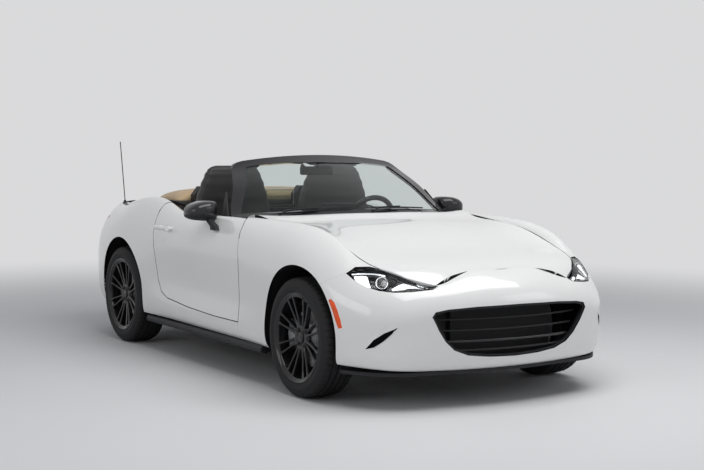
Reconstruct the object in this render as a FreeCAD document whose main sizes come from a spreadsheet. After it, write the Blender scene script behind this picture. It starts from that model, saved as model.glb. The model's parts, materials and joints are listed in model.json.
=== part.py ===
import FreeCAD, Part
import math
import os
import Sketcher
from FreeCAD import Placement, Rotation, Vector

# A two-seat convertible roadster, in millimetres. +Z is up, the front faces -Y and the car's left is +X.
# The origin is under the middle of the car's length and width, on the ground.

doc = FreeCAD.newDocument("roadster")
sheet = doc.addObject("Spreadsheet::Sheet", "Sizes")

# alias, value in millimetres or degrees, what it is
SIZES = [
    ("wheelbase", 2310, "front axle to rear axle"),
    ("front_overhang", 757.5, "nose to front axle"),
    ("rear_overhang", 847.5, "rear axle to tail"),
    ("body_width", 1735, "width over the rear wings"),
    ("front_track", 1495, "between the front tyres' middles"),
    ("rear_track", 1505, "between the rear tyres' middles"),
    ("tyre_diameter", 616, "outside of the tyres"),
    ("tyre_width", 205, "tyre section"),
    ("rim_diameter", 431.8, "bead seat"),
    ("rim_width", 178, "between the bead flanges"),
    ("wheel_offset", 45, "rim middle to hub face"),
    ("spoke_count", 8, "pairs of blades"),
    ("blade_width", 9, "one spoke blade"),
    ("blade_spread", 52, "between a pair of blades at the rim"),
    ("arch_gap", 37, "tyre to wheel arch edge"),
    ("arch_lift", 27, "arch middle above the wheel's"),
    ("liner_gap", 12, "arch edge to the wheel house lining"),
    ("panel", 6, "outer panel with its inner skin"),
    ("lid_depth", 16, "bonnet and boot lid with their frames"),
    ("shut_gap", 5, "gap round doors and lids"),
    ("seam", 0.4, "gap between fixed panels"),
    ("rest_gap", 0.3, "gap under a piece that rests on another"),
    ("door_card", 700, "inner face of the door from the middle"),
    ("disc_diameter", 280, "brake discs"),
    ("front_disc_width", 22, "vented front disc"),
    ("rear_disc_width", 10, "rear disc"),
    ("wheel_rim", 366, "steering wheel outside"),
    ("grip", 32, "steering wheel grip thickness"),
    ("column_angle", 24, "steering column to level"),
    ("seat_spacing", 730, "between the seats' middles"),
    ("seat_width", 470, "across a seat"),
    ("seat_height", 1150, "top of the headrests"),
    ("ride_height", 140, "ground to floor pan"),
    ("floor_thickness", 25, "floor pan"),
    ("tunnel_width", 250, "centre tunnel"),
    ("screen_depth", 34, "windscreen frame, front to back"),
    ("glass", 5, "windscreen glass"),
    ("flap_diameter", 146, "fuel flap opening"),
    ("tailpipe", 80, "tailpipe outside"),
    ("antenna", 420, "antenna mast length"),
    ("plate_holes", 220, "between the number plate's bolt holes"),
]


class Size:
    """A number with the formula that it came from, so that a property can be bound to it."""

    def __init__(self, value, text=None):
        self.value = float(value)
        self.text = repr(float(value)) if text is None else text

    def __add__(self, other):
        other = as_size(other)
        return Size(self.value + other.value, f"({self.text} + {other.text})")

    def __sub__(self, other):
        other = as_size(other)
        return Size(self.value - other.value, f"({self.text} - {other.text})")

    def __mul__(self, other):
        other = as_size(other)
        return Size(self.value * other.value, f"({self.text} * {other.text})")

    def __truediv__(self, other):
        other = as_size(other)
        return Size(self.value / other.value, f"({self.text} / {other.text})")

    def __neg__(self):
        return Size(-self.value, f"(-1 * {self.text})")

    def __float__(self):
        return self.value

    def __radd__(self, other):
        return as_size(other) + self

    def __rsub__(self, other):
        return as_size(other) - self

    def __rmul__(self, other):
        return as_size(other) * self


def as_size(number):
    return number if isinstance(number, Size) else Size(number)


class Named:
    pass


s = Named()
for row, (alias, value, meaning) in enumerate(SIZES, start=1):
    sheet.set(f"A{row}", meaning)
    sheet.set(f"B{row}", str(value))
    sheet.setAlias(f"B{row}", alias)
doc.recompute()
for alias, value, meaning in SIZES:
    setattr(s, alias, Size(sheet.get(alias), f"Sizes.{alias}"))

length = s.wheelbase + s.front_overhang + s.rear_overhang
nose = length / -2
tail = length / 2
front_axle = nose + s.front_overhang
rear_axle = tail - s.rear_overhang
half_width = s.body_width / 2
wheel_radius = s.tyre_diameter / 2
arch_radius = wheel_radius + s.arch_gap
arch_height = wheel_radius + s.arch_lift

NODES = {}


def keep(node, thing):
    thing.Label = node
    NODES[node] = thing
    return thing


def vec(x, y, z):
    return Vector(float(x), float(y), float(z))


# Helpers for primitives and features whose sizes are bound to the sheet

def bind(thing, prop, size):
    thing.setExpression(prop, as_size(size).text)


def place(thing, x, y, z, rotation=None):
    if rotation is not None:
        thing.Placement = Placement(Vector(), rotation)
    for axis, size in zip("xyz", (x, y, z)):
        bind(thing, f"Placement.Base.{axis}", size)
    return thing


def block(name, x, y, z):
    """A box between two coordinates along each axis, each given as a pair."""
    thing = doc.addObject("Part::Box", name)
    for prop, (low, high) in zip(("Length", "Width", "Height"), (x, y, z)):
        bind(thing, prop, as_size(high) - low)
    return place(thing, x[0], y[0], z[0])


TURN = {
    "x": Rotation(Vector(0, 1, 0), 90),
    "y": Rotation(Vector(1, 0, 0), -90),
    "z": Rotation(),
}


def rod(name, axis, radius, height, x, y, z):
    """A cylinder along +axis whose first end is centred at the point given."""
    thing = doc.addObject("Part::Cylinder", name)
    bind(thing, "Radius", radius)
    bind(thing, "Height", height)
    return place(thing, x, y, z, TURN[axis])


def joined(name, things):
    fuse = doc.addObject("Part::MultiFuse", name)
    fuse.Shapes = things
    return fuse


def minus(name, base, tool):
    cut = doc.addObject("Part::Cut", name)
    cut.Base = base
    cut.Tool = tool
    return cut


def profile(body, plane, points):
    """A closed outline of straight sides, every corner bound to its sizes."""
    sketch = body.newObject("Sketcher::SketchObject", body.Name + "_outline")
    support = [f for f in body.Origin.OriginFeatures if f.Role == plane][0]
    sketch.AttachmentSupport = (support, [""])
    sketch.MapMode = "FlatFace"
    ends = [vec(a, b, 0) for a, b in points]
    for i, end in enumerate(ends):
        sketch.addGeometry(Part.LineSegment(end, ends[(i + 1) % len(ends)]))
    for i in range(len(ends)):
        sketch.addConstraint(Sketcher.Constraint("Coincident", i, 2, (i + 1) % len(ends), 1))
    for i, corner in enumerate(points):
        for kind, size in zip(("DistanceX", "DistanceY"), corner):
            if abs(float(size)) < 1e-6:
                line_axis = -2 if kind == "DistanceX" else -1
                sketch.addConstraint(Sketcher.Constraint("PointOnObject", i, 1, line_axis))
                continue
            number = sketch.addConstraint(Sketcher.Constraint(kind, -1, 1, i, 1, float(size)))
            if isinstance(size, Size):
                sketch.setExpression(f"Constraints[{number}]", size.text)
    return sketch


def new_body(name):
    return doc.addObject("PartDesign::Body", name)


def padded(name, plane, points, depth, x=0, y=0, z=0, both_ways=False):
    """An outline given depth along +X, +Y or +Z from its plane, or to both sides of it."""
    body = new_body(name)
    sketch = profile(body, plane, points)
    pad = body.newObject("PartDesign::Pad", name + "_pad")
    pad.Profile = sketch
    pad.Midplane = both_ways
    pad.Reversed = plane == "XZ_Plane"
    bind(pad, "Length", depth)
    return place(body, x, y, z)


def turned(name, points, x=0, y=0, z=0):
    """An outline of (along X, radius) pairs turned about the X axis."""
    body = new_body(name)
    sketch = profile(body, "XY_Plane", points)
    turn = body.newObject("PartDesign::Revolution", name + "_turn")
    turn.Profile = sketch
    turn.ReferenceAxis = (sketch, ["H_Axis"])
    turn.Angle = 360
    return place(body, x, y, z)


# Body surface. Each row is one section of the car's side, from the nose round to the tail.
# Sizes in and up are for the rows: hem, sill, tuck, waist, shoulder, crest, inner edge.
# from: where 'along' counts from; share: waist line's part of half the width;
# turn: degrees that the section is turned towards the front; inward: drawn in from the waist line
SECTIONS = [
    # from, along, share, turn, inward x 7, height x 7
    ("nose", 0, 0, 90, (110, 55, 25, 0, 22, 75, 160), (190, 232, 380, 500, 575, 632, 672)),
    ("nose", 19.5, 0.277, 80, (105, 52, 25, 0, 24, 76, 145), (190, 232, 380, 496, 570, 628, 668)),
    ("nose", 67.5, 0.519, 65, (90, 40, 12, 0, 20, 55, 85), (192, 235, 375, 480, 545, 590, 610)),
    ("nose", 157.5, 0.738, 45, (45, 10, 5, 0, 25, 75, 140), (200, 245, 360, 450, 530, 600, 650)),
    ("nose", 307.5, 0.888, 22, (35, 12, 3, 0, 20, 80, 160), (210, 250, 350, 450, 540, 625, 690)),
    ("front", -270, 0.966, 8, (28, 10, 0, 0, 22, 130, 195), (215, 255, 360, 480, 610, 742, 738)),
    ("front", 0, 0.994, 0, (25, 10, 3, 0, 22, 150, 225), (215, 260, 400, 560, 720, 843, 818)),
    ("front", 300, 0.982, 0, (25, 8, 8, 0, 20, 135, 210), (215, 262, 420, 590, 745, 868, 856)),
    ("front", 650, 0.975, 0, (28, 4, 12, 0, 14, 90, 150), (218, 285, 430, 630, 770, 868, 878)),
    ("front", 1150, 0.974, 0, (28, 2, 16, 0, 12, 75, 130), (220, 290, 430, 640, 775, 862, 868)),
    ("rear", -660, 0.975, 0, (28, 4, 14, 0, 14, 90, 140), (224, 300, 440, 640, 775, 872, 872)),
    ("rear", -300, 0.994, 0, (30, 12, 6, 0, 22, 120, 200), (226, 300, 430, 600, 770, 925, 930)),
    ("rear", 0, 1.0, 0, (30, 12, 3, 0, 25, 140, 215), (230, 300, 430, 580, 760, 915, 922)),
    ("rear", 380, 0.963, -10, (30, 10, 2, 0, 30, 130, 230), (235, 300, 430, 570, 720, 850, 892)),
    ("tail", -197.5, 0.853, -35, (40, 12, 0, 0, 25, 80, 150), (240, 300, 430, 560, 700, 810, 875)),
    ("tail", -47.5, 0.553, -68, (55, 20, 3, 0, 22, 50, 75), (240, 300, 430, 560, 690, 800, 880)),
    ("tail", 0, 0, -90, (60, 22, 4, 0, 25, 55, 70), (240, 300, 430, 560, 690, 800, 885)),
]
START = {"nose": nose, "front": front_axle, "rear": rear_axle, "tail": tail}
LAST = len(SECTIONS) - 1
BEYOND_TAIL = 10


def section_points(index, side=1):
    """A section's points, with one more put between each two on the curve through them."""
    start, along, share, turn, inward, heights = SECTIONS[index]
    turn = math.radians(turn)
    x = share * float(half_width)
    y = float(START[start]) + along
    points = []
    for depth, z in zip(inward, heights):
        points.append(Vector(side * (x - depth * math.cos(turn)), y + depth * math.sin(turn), z))
    steps = [0.0]
    for a, b in zip(points, points[1:]):
        steps.append(steps[-1] + math.sqrt((b - a).Length))
    curve = Part.BSplineCurve()
    curve.interpolate(Points=points, Parameters=steps)
    return [curve.value(step) for step in spread(steps, 2)]


def spread(values, between):
    """The values with some more put evenly between each two."""
    result = []
    for a, b in zip(values, values[1:]):
        result += [a + (b - a) * i / between for i in range(between)]
    return result + [values[-1]]


def skin_grid():
    """Sections all round the car: right side back to front, left side front to back, and past the tail."""
    grid = [section_points(i, -1) for i in range(LAST, 0, -1)]
    grid += [section_points(i) for i in range(LAST + 1)]
    grid += [section_points(LAST - i, -1) for i in range(1, BEYOND_TAIL + 1)]
    return grid


def surface_through(grid):
    surface = Part.BSplineSurface()
    surface.interpolate(grid)
    return surface


SKIN_GRID = skin_grid()
SKIN = surface_through(SKIN_GRID)
ROWS = {"hem": 0, "sill": 2, "tuck": 4, "waist": 6, "shoulder": 8, "crest": 10, "inner": 12}


U_OF_SECTION = SKIN.getUKnots()
SKIN_V = SKIN.getVKnots()


def skin_u(section):
    """The skin's parameter at a section, which may lie between two. Negative ones are on the right."""
    low = min(math.floor(section), LAST + BEYOND_TAIL - 1)
    u_low, u_high = U_OF_SECTION[LAST + low], U_OF_SECTION[LAST + low + 1]
    return u_low + (u_high - u_low) * (section - low)


def solid_between(outer, inner):
    """The closed solid between two surfaces whose corners come in the same order."""
    faces = [outer.toShape(), inner.toShape()]
    u0, u1, v0, v1 = outer.bounds()
    p0, p1, q0, q1 = inner.bounds()
    for a, b in ((outer.uIso(u0), inner.uIso(p0)), (outer.uIso(u1), inner.uIso(p1)),
                 (outer.vIso(v0), inner.vIso(q0)), (outer.vIso(v1), inner.vIso(q1))):
        faces.append(a.makeRuledSurface(b).toShape())
    shell = Part.makeCompound(faces)
    shell.sewShape()
    solid = Part.Solid(shell.Shells[0])
    if solid.Volume < 0:
        solid.reverse()
    return solid


def offset_surface(surface, us, vs, depth):
    """A surface inside another: depth is counted against the outward normal."""
    return surface_through([[surface.value(u, v) - surface.normal(u, v) * depth for v in vs] for u in us])


def skin_patch(first, last, low="hem", high="inner"):
    sections = [first] + list(range(math.floor(first) + 1, math.ceil(last))) + [last]
    us = spread([skin_u(i) for i in sections], 2)
    vs = SKIN_V[ROWS[low]:ROWS[high] + 1]
    return us, vs


def skin_layer(first, last, depth_from, depth_to, low="hem", high="inner"):
    """A layer of the side skin between two sections, its depths counted inwards from the outside."""
    us, vs = skin_patch(first, last, low, high)
    if depth_from == 0:
        outer = SKIN.copy()
        outer.segment(us[0], us[-1], vs[0], vs[-1])
    else:
        outer = offset_surface(SKIN, us, vs, float(depth_from))
    return solid_between(outer, offset_surface(SKIN, us, vs, float(depth_to)))


CARD_DROP = 12.0
CARD_EDGE = 15.0


def skin_to_card(first, last, x):
    """The solid between the left side's outside and a door card, whose top leans in under the skin's edge."""
    us, vs = skin_patch(first, last)
    outer = SKIN.copy()
    outer.segment(us[0], us[-1], vs[0], vs[-1])
    card = []
    for u in us:
        foot, top = SKIN.value(u, vs[0]), SKIN.value(u, vs[-1])
        rise = top.z - CARD_DROP - foot.z
        lean = top.x - CARD_EDGE - float(x)
        shares = [j / (len(vs) - 1) for j in range(len(vs))]
        card.append([Vector(float(x) + lean * f ** 3, foot.y, foot.z + rise * f) for f in shares])
    return solid_between(outer, surface_through(card))


def grown(points, by):
    """A flat outline of points with every side moved outwards by the same amount."""
    sides = []
    for a, b in zip(points, points[1:] + points[:1]):
        sides.append((b - a).normalize())
    plane = sides[0].cross(sides[1])
    for a, b in zip(sides, sides[1:]):
        if a.cross(b).Length > plane.Length:
            plane = a.cross(b)
    plane.normalize()
    turning = sum(a.cross(b).dot(plane) for a, b in zip(points, points[1:] + points[:1]))
    out = by if turning > 0 else -by
    result = []
    for i, point in enumerate(points):
        before = sides[i - 1].cross(plane)
        after = sides[i].cross(plane)
        result.append(point + (before + after) * (out / (1 + before.dot(after))))
    return result


def prism(points, direction, grow=0.0):
    points = grown(points, float(grow))
    return Part.Face(Part.makePolygon(points + [points[0]])).extrude(direction)


def side_prism(outline, grow=0.0, x_from=60.0, x_to=1100.0):
    """A prism across the left half, from (y from the front axle, z) pairs."""
    points = [vec(x_from, front_axle + y, z) for y, z in outline]
    return prism(points, Vector(x_to - x_from, 0, 0), grow)


def front_prism(outline, grow=0.0, depth=700.0):
    """A prism back from before the nose, from (x, z) pairs."""
    points = [vec(x, nose - 60, z) for x, z in outline]
    return prism(points, Vector(0, depth, 0), grow)


def rear_prism(outline, grow=0.0, depth=500.0):
    """A prism forwards from behind the tail, from (x, z) pairs."""
    points = [vec(x, tail + 60, z) for x, z in outline]
    return prism(points, Vector(0, -depth, 0), grow)


def plan_prism(outline, grow=0.0, z_from=0.0, z_to=1400.0):
    points = [vec(x, y, z_from) for x, y in outline]
    return prism(points, Vector(0, 0, z_to - z_from), grow)


def mirrored(shape):
    return shape.mirror(Vector(), Vector(1, 0, 0))


def both_sides(shape):
    return Part.makeCompound([shape, mirrored(shape)])


def cut_both(shape, tool):
    return shape.cut([tool, mirrored(tool)])


def largest(shape):
    return max(shape.Solids, key=lambda solid: solid.Volume)


def feature(node, shape):
    """A piece whose shape comes from the surfaces above."""
    thing = doc.addObject("Part::Feature", node)
    thing.Shape = shape
    return keep(node, thing)


def arch_cylinder(y, radius, x_from=400.0, x_to=1100.0):
    return Part.makeCylinder(float(radius), x_to - x_from, vec(x_from, y, arch_height), Vector(1, 0, 0))


# Shut lines of the left side, as (y behind the front axle, height). What lies by the rear wheel keeps
# its distance from the rear axle.
behind = float(s.wheelbase) - 2310
DOOR_FRONT = [(790, 1000), (745, 885), (700, 840), (665, 760), (650, 660), (660, 498), (660, 316)]
DOOR_REAR = [(1613, 354), (1700, 385), (1745, 450), (1765, 560), (1785, 680), (1812, 780), (1845, 880),
             (1880, 1000)]
DOOR = DOOR_FRONT + [(960, 317), (1322, 330)] + [(y + behind, z) for y, z in DOOR_REAR]
LAMP = [(408, 606), (520, 652), (600, 680), (640, 692), (700, 690), (748, 660), (732, 628), (702, 600),
        (668, 586), (613, 579), (540, 583), (440, 593)]
GRILLE = [(0, 250), (150, 255), (270, 268), (350, 298), (400, 342), (440, 398), (478, 466), (462, 490),
          (400, 502), (250, 511), (0, 515)]
SLOT = [(738, 306), (712, 354), (677, 388), (628, 417), (645, 386), (676, 347), (708, 316)]
SIDE_LAMP = [(-294, 530), (-308, 536), (-333, 520), (-354, 484), (-374, 439), (-383, 401), (-361, 396),
             (-348, 425), (-329, 470), (-309, 505)]
TAIL_LAMP = [(432, 745), (470, 702), (560, 690), (650, 700), (715, 728), (752, 762), (748, 790), (700, 802),
             (560, 800), (450, 778)]
PIPE_NOTCH = [(-560, 150), (-360, 150), (-370, 290), (-400, 320), (-520, 320), (-550, 290)]


def whole(outline):
    """The outline of both halves, from a left half that starts and ends on the middle line."""
    return outline + [(-x, z) for x, z in reversed(outline) if x > 0]


def inner_edge(first, last, gap, steps=3):
    """The plan of the skin's inner edge, drawn in by a gap, as points from the front to the back."""
    us, vs = skin_patch(first, last)
    line = [SKIN.value(u, vs[-1]) for u in spread(us, steps)]
    ring = [(p.x, p.y) for p in line] + [(-p.x, p.y) for p in reversed(line) if abs(p.x) > 1e-6]
    return [(x, y) for x, y in ring], float(gap)


def within_skin(shape, first, last, gap):
    """What of a lid lies inside the skin's inner edge, with a gap round it."""
    ring, gap = inner_edge(first, last, gap)
    return largest(shape.common(plan_prism(ring, -gap, z_from=500.0)))


# Lids across the middle. Each row is a section: y at the middle, how much further back its edge lies,
# the edge's x, then heights at the middle and at 0.3, 0.6, 0.85 and all of the way to the edge.
# The edges lie past the gap that the lid is trimmed to.
ACROSS = (0, 0.3, 0.6, 0.85, 1)
BONNET = [
    (-590, -20, 412, (673, 671, 664, 640, 610)),
    (-500, 0, 541, (698, 698, 694, 678, 650)),
    (-390, 0, 622, (722, 722, 718, 706, 690)),
    (-243, 0, 645, (748, 748, 744, 738, 738)),
    (0, 0, 637, (806, 806, 800, 803, 818)),
    (300, 0, 642, (858, 857, 850, 846, 856)),
    (480, 90, 672, (880, 879, 873, 867, 873)),
    (636, 178, 700, (893, 892, 887, 880, 878)),
]
COWL = [
    (642, 178, 712, (889, 888, 883, 876, 872)),
    (670, 183, 718, (891, 890, 884, 874, 865)),
    (704.6, 193.3, 724, (893, 890, 881, 869, 859)),
]
DECK = [
    (-405, 0, 668, (868, 868, 870, 895, 930)),
    (-200, 0, 662, (878, 878, 880, 898, 928)),
    (0, 0, 654, (885, 885, 887, 900, 921)),
    (240, 0, 634, (888, 888, 890, 897, 905)),
]
BOOT = [
    (-605, 0, 634, (888, 888, 890, 897, 905)),
    (-440, 0, 612, (892, 892, 892, 893, 895)),
    (-290, 0, 606, (894, 894, 891, 886, 880)),
    (-70, -46, 452, (885, 884, 883, 882, 880)),
]


def lid_surface(table, start):
    grid = []
    for y, bow, edge, heights in table:
        half = [Vector(edge * f, float(start) + y + bow * f * f, z) for f, z in zip(ACROSS, heights)]
        grid.append([Vector(-p.x, p.y, p.z) for p in reversed(half[1:])] + half)
    return surface_through(grid)


def lid(table, start, depth):
    """A crowned lid from its table of sections, with its underside below it."""
    top = lid_surface(table, start)
    below = top.copy()
    below.translate(Vector(0, 0, -float(depth)))
    return solid_between(top, below)


def under(node, x, y, spread_x=8.0, spread_y=8.0):
    """The height for a stop that carries a piece: the piece's lowest underside over a small area."""
    heights = []
    for dx in (-spread_x, spread_x):
        for dy in (-spread_y, spread_y):
            line = Part.makeLine(vec(x + dx, y + dy, 0), vec(x + dx, y + dy, 1500))
            heights.append(min(vertex.Z for vertex in NODES[node].Shape.common(line).Vertexes))
    return min(heights) - s.rest_gap


# Outer panels

FENDER_FRONT = [(-221, 603), (-318, 655), (-330, 1000), (-900, 1000), (-900, 0), (-221, 0)]
BEHIND_FENDER_SEAM = [(-221, 603), (-318, 655), (-330, 1000), (400, 1000), (400, 0), (-221, 0)]
FENDER_FOOT = [(640, 0), (900, 0), (900, 316), (660, 316), (655, 200)]
BUMPER_SEAM = [(270, 590), (560, 640), (610, 760), (560, 1000), (2000, 1000), (2000, 0), (270, 0)]


def front_bumper():
    shape = skin_layer(-5.6, 5.6, 0, s.panel)
    shape = shape.cut(front_prism(whole(GRILLE)))
    for tool in (side_prism(BEHIND_FENDER_SEAM), arch_cylinder(front_axle, arch_radius),
                 front_prism(LAMP, s.seam), front_prism(SLOT), side_prism(SIDE_LAMP, s.seam, x_from=700)):
        shape = cut_both(shape, tool)
    return largest(shape)


def front_fender():
    shape = skin_layer(4, 9, 0, s.panel)
    tools = [side_prism(FENDER_FRONT, s.seam), side_prism(FENDER_FOOT, s.seam), side_prism(DOOR, s.shut_gap),
             side_prism([(745, 880), (2000, 880), (2000, 1000), (745, 1000)]),
             side_prism([(900, 0), (2000, 0), (2000, 1000), (900, 1000)]),
             arch_cylinder(front_axle, arch_radius), front_prism(LAMP, s.seam)]
    return largest(shape.cut(tools))


def rear_quarter():
    shape = skin_layer(7.5, 14, 0, s.panel)
    seam = [(float(s.wheelbase) + y, z) for y, z in BUMPER_SEAM]
    tools = [side_prism([(200, 0), (640, 0), (655, 200), (660, 316), (660, 1100), (200, 1100)], s.seam),
             side_prism(DOOR, s.shut_gap),
             side_prism([(640, 700), (1850 + behind, 860), (1880 + behind, 1100), (640, 1100)]),
             arch_cylinder(rear_axle, arch_radius), side_prism(seam, s.seam)]
    tools.append(rear_prism(TAIL_LAMP, s.seam, depth=501))
    return largest(shape.cut(tools))


def rear_bumper():
    shape = skin_layer(12.4, 19.6, 0, s.panel)
    keep_side = [(y + float(s.wheelbase), z) for y, z in BUMPER_SEAM]
    left = side_prism(keep_side, x_from=0.0)
    shape = shape.common(left.fuse(mirrored(left)))
    shape = cut_both(shape, rear_prism(TAIL_LAMP, s.seam))
    ring, gap = inner_edge(12, 16, 0)
    above = plan_prism(ring, -gap, z_from=840.0)
    shape = shape.cut([rear_prism(BOOT_FACE, s.shut_gap), rear_prism(PIPE_NOTCH), above])
    shape = cut_both(shape, arch_cylinder(rear_axle, arch_radius))
    plate_holes = [Part.makeCylinder(3.3, 200, vec(x, tail - 100, 560), Vector(0, 1, 0))
                   for x in (s.plate_holes / -2, s.plate_holes / 2)]
    return largest(shape.cut(plate_holes))


BOOT_FACE = [(-415, 905), (-405, 780), (-330, 672), (330, 672), (405, 780), (415, 905)]


def boot_lid():
    top = within_skin(lid(BOOT, tail, s.lid_depth), 12, 16, s.shut_gap)
    face = skin_layer(15, 17, 0, s.lid_depth).common(rear_prism(BOOT_FACE, depth=300))
    return largest(top.fuse(largest(face)).removeSplitter())


HINGE_LINE = half_width * 0.945
TOP_TRIM = 4


def door():
    """A door as thick as the real one, its rear end drawn in so that it swings clear of the quarter."""
    solid = skin_to_card(7.6, 11.4, s.door_card).common(side_prism(DOOR))
    pillar_room = side_prism([(560, 812), (1060, 812), (1060, 1000), (560, 1000)], x_from=600.0, x_to=752.0)
    jamb = [(1590, 250), (1640, 390), (1700, 450), (1722, 560), (1745, 700), (1775, 800), (2100, 800),
            (2100, 250)]
    top = [(y - TOP_TRIM, z) for y, z in DOOR_REAR if z > 700] + [(2100, 1000), (2100, 780)]
    jamb = side_prism([(y + behind, z) for y, z in jamb], x_from=600.0, x_to=float(HINGE_LINE))
    top = side_prism([(y + behind, z) for y, z in top], x_from=600.0, x_to=735.0)
    return largest(solid.cut([pillar_room, jamb, top]))


def handle():
    """The grip across its dish, on two posts that end on the door's skin."""
    grip = Part.makeCylinder(13, 175, vec(half_width + 2, front_axle + 1545, 776), Vector(0, 1, 0))
    ends = [Part.makeCylinder(11, 60, vec(half_width - 52, front_axle + y, 776), Vector(1, 0, 0))
            for y in (1560, 1705)]
    return grip.fuse(ends)


bumper = front_bumper()
feature("front_bumper", bumper)
feature("front_fenders", both_sides(front_fender()))
bonnet = within_skin(lid(BONNET, front_axle, s.lid_depth), 0, 8.6, s.shut_gap)
feature("bonnet", bonnet)
feature("cowl", within_skin(lid(COWL, front_axle, 14), 5, 9.5, s.seam))
quarter = rear_quarter()
feature("rear_quarters", both_sides(quarter))
deck = within_skin(lid(DECK, rear_axle, 10), 10, 13.5, s.seam)
well = [(-600, float(rear_axle) - 385), (600, float(rear_axle) - 385), (600, float(rear_axle) + 130),
        (-600, float(rear_axle) + 130)]
feature("rear_deck", deck.cut(plan_prism(well)))
feature("boot_lid", boot_lid())
feature("rear_bumper", rear_bumper())
left_door = door()
left_handle = largest(handle().cut(left_door))
feature("door_left", left_door)
feature("door_right", mirrored(left_door))
feature("handle_left", left_handle)
feature("handle_right", mirrored(left_handle))

# Fuel flap: a round lid in the left rear quarter, with a cup behind it

flap_y = rear_axle - 232
flap_z = 742.0


def flap_cylinder(radius):
    return Part.makeCylinder(float(radius), 400, vec(600, flap_y, flap_z), Vector(1, 0, 0))


def fuel_cup():
    """The filler pocket, with the stop that the closed flap rests on."""
    wall = skin_layer(10.6, 12, s.panel / 2, 46, low="waist", high="crest")
    outer = wall.common(flap_cylinder(s.flap_diameter / 2 + 9))
    inside = skin_layer(10.6, 12, -10, 40, low="waist", high="crest")
    inside = inside.common(flap_cylinder(s.flap_diameter / 2 + 3))
    cup = largest(outer.cut(inside))
    stop = skin_layer(10.6, 12, s.panel + s.rest_gap, 44, low="waist", high="crest")
    stop_y = flap_y + s.flap_diameter / 2 - 14
    stop = stop.common(Part.makeCylinder(8, 400, vec(600, stop_y, flap_z), Vector(1, 0, 0)))
    return cup.fuse(largest(stop))


def fuel_flap():
    layer = skin_layer(10.6, 12, 0, s.panel, low="waist", high="crest")
    return largest(layer.common(flap_cylinder(s.flap_diameter / 2 - s.shut_gap)))


# Lamps

def headlamp():
    body = skin_layer(2, 6, 1.5, 34).common(front_prism(LAMP, -s.seam))
    ring, gap = inner_edge(0, 8.6, 0)
    return largest(body.cut(plan_prism(ring, -gap, z_from=500.0)))


def side_lamp():
    return largest(skin_layer(4, 6, 0.5, s.panel + s.seam).common(side_prism(SIDE_LAMP, x_from=700)))


def tail_lamp():
    return largest(skin_layer(12.6, 15.6, 1.5, 34).common(rear_prism(TAIL_LAMP, -s.seam)))


# Grille: a dished sheet behind the opening, cut through by rows of slots

def grille():
    sheet_part = skin_layer(-4, 4, s.panel + 0.3, 26).common(front_prism(whole(GRILLE), 14, depth=400))
    sheet_part = largest(sheet_part)
    inner = largest(skin_layer(-4, 4, 0, 60).common(front_prism(whole(GRILLE), -12, depth=400)))
    ring = sheet_part.cut(inner)
    bars = []
    pitch = 24.0
    for i in range(9):
        z = 276 + i * pitch
        bars.append(Part.makeBox(1100, 500, 9, vec(-550, nose - 40, z)))
    for i in range(-3, 4):
        bars.append(Part.makeBox(8, 500, 400, vec(i * 130 - 4, nose - 40, 200)))
    mesh = skin_layer(-4, 4, 14, 26).common(front_prism(whole(GRILLE), -10, depth=400))
    mesh = mesh.common(Part.makeCompound(bars))
    return largest(ring.fuse(mesh.Solids))


def front_lip():
    """The black splitter under the bumper's hem."""
    us, vs = skin_patch(-4.6, 4.6)
    outer = [SKIN.value(u, vs[0]) for u in spread(us, 2)]
    rim = [(p.x * 1.0, p.y - 6) for p in outer]
    back = [(p.x * 0.9, p.y + 75) for p in reversed(outer)]
    plate = plan_prism(rim + back, z_from=172, z_to=189.4)
    plate = cut_both(plate, arch_cylinder(front_axle, arch_radius))
    pivot = vec(s.front_track / 2 - kingpin_in, front_axle, 0)
    turning = Part.makeCylinder(float(wheel_radius + LOCK_ROOM), 400, pivot)
    return largest(cut_both(plate, turning))


LOCK_ROOM = 18
kingpin_in = 62.5


# Windscreen: each row is a section across it: y behind the front axle and height at the middle, how far
# back and how far down its edge lies, and the edge's x
SCREEN = [
    (705, 893, 203, 36, 742),
    (825, 984, 199, 40, 702),
    (965, 1070, 130, 43, 656),
    (1100, 1143, 92, 45, 611),
    (1240, 1222, 50, 46, 563),
]
SCREEN_ACROSS = (-1, -0.67, -0.33, 0, 0.33, 0.67, 1)
SCREEN_OPENING = [(0, 913), (360, 905), (600, 890), (686, 884), (512, 1140), (494, 1152), (420, 1163),
                  (250, 1175), (0, 1180)]
SCREEN_CORNER = [(596, 1122), (581, 1143), (562, 1161), (538, 1175), (507, 1184), (560, 1260), (680, 1200)]


def screen_surface():
    grid = []
    for y, z, back, down, edge in SCREEN:
        grid.append([vec(edge * f, front_axle + y + back * f * f, z - down * f * f) for f in SCREEN_ACROSS])
    return surface_through(grid)


SCREEN_SURFACE = screen_surface()


def screen_layer(depth_from, depth_to):
    surface = SCREEN_SURFACE
    us = surface.getUKnots()
    vs = surface.getVKnots()
    outward = surface.normal(0.5, 0.5)
    sign = 1 if outward.y < 0 else -1
    outer = surface if depth_from == 0 else offset_surface(surface, us, vs, float(depth_from) * sign)
    return solid_between(outer, offset_surface(surface, us, vs, float(depth_to) * sign))


def screen_prism(grow):
    points = [vec(x, nose, z) for x, z in whole(SCREEN_OPENING)]
    return prism(points, Vector(0, 2600, 0), grow)


def on_screen(x, up, above):
    """A place above the windscreen: x across, up as a share of its height, above along its normal."""
    u0, u1, v0, v1 = SCREEN_SURFACE.bounds()
    u = u0 + (u1 - u0) * up
    low, high = v0, v1
    rising = SCREEN_SURFACE.value(u, v1).x > SCREEN_SURFACE.value(u, v0).x
    for _ in range(30):
        v = (low + high) / 2
        if (SCREEN_SURFACE.value(u, v).x < x) == rising:
            low = v
        else:
            high = v
    normal = SCREEN_SURFACE.normal(u, v)
    return SCREEN_SURFACE.value(u, v) + normal * (above if normal.y < 0 else -above)


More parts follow.
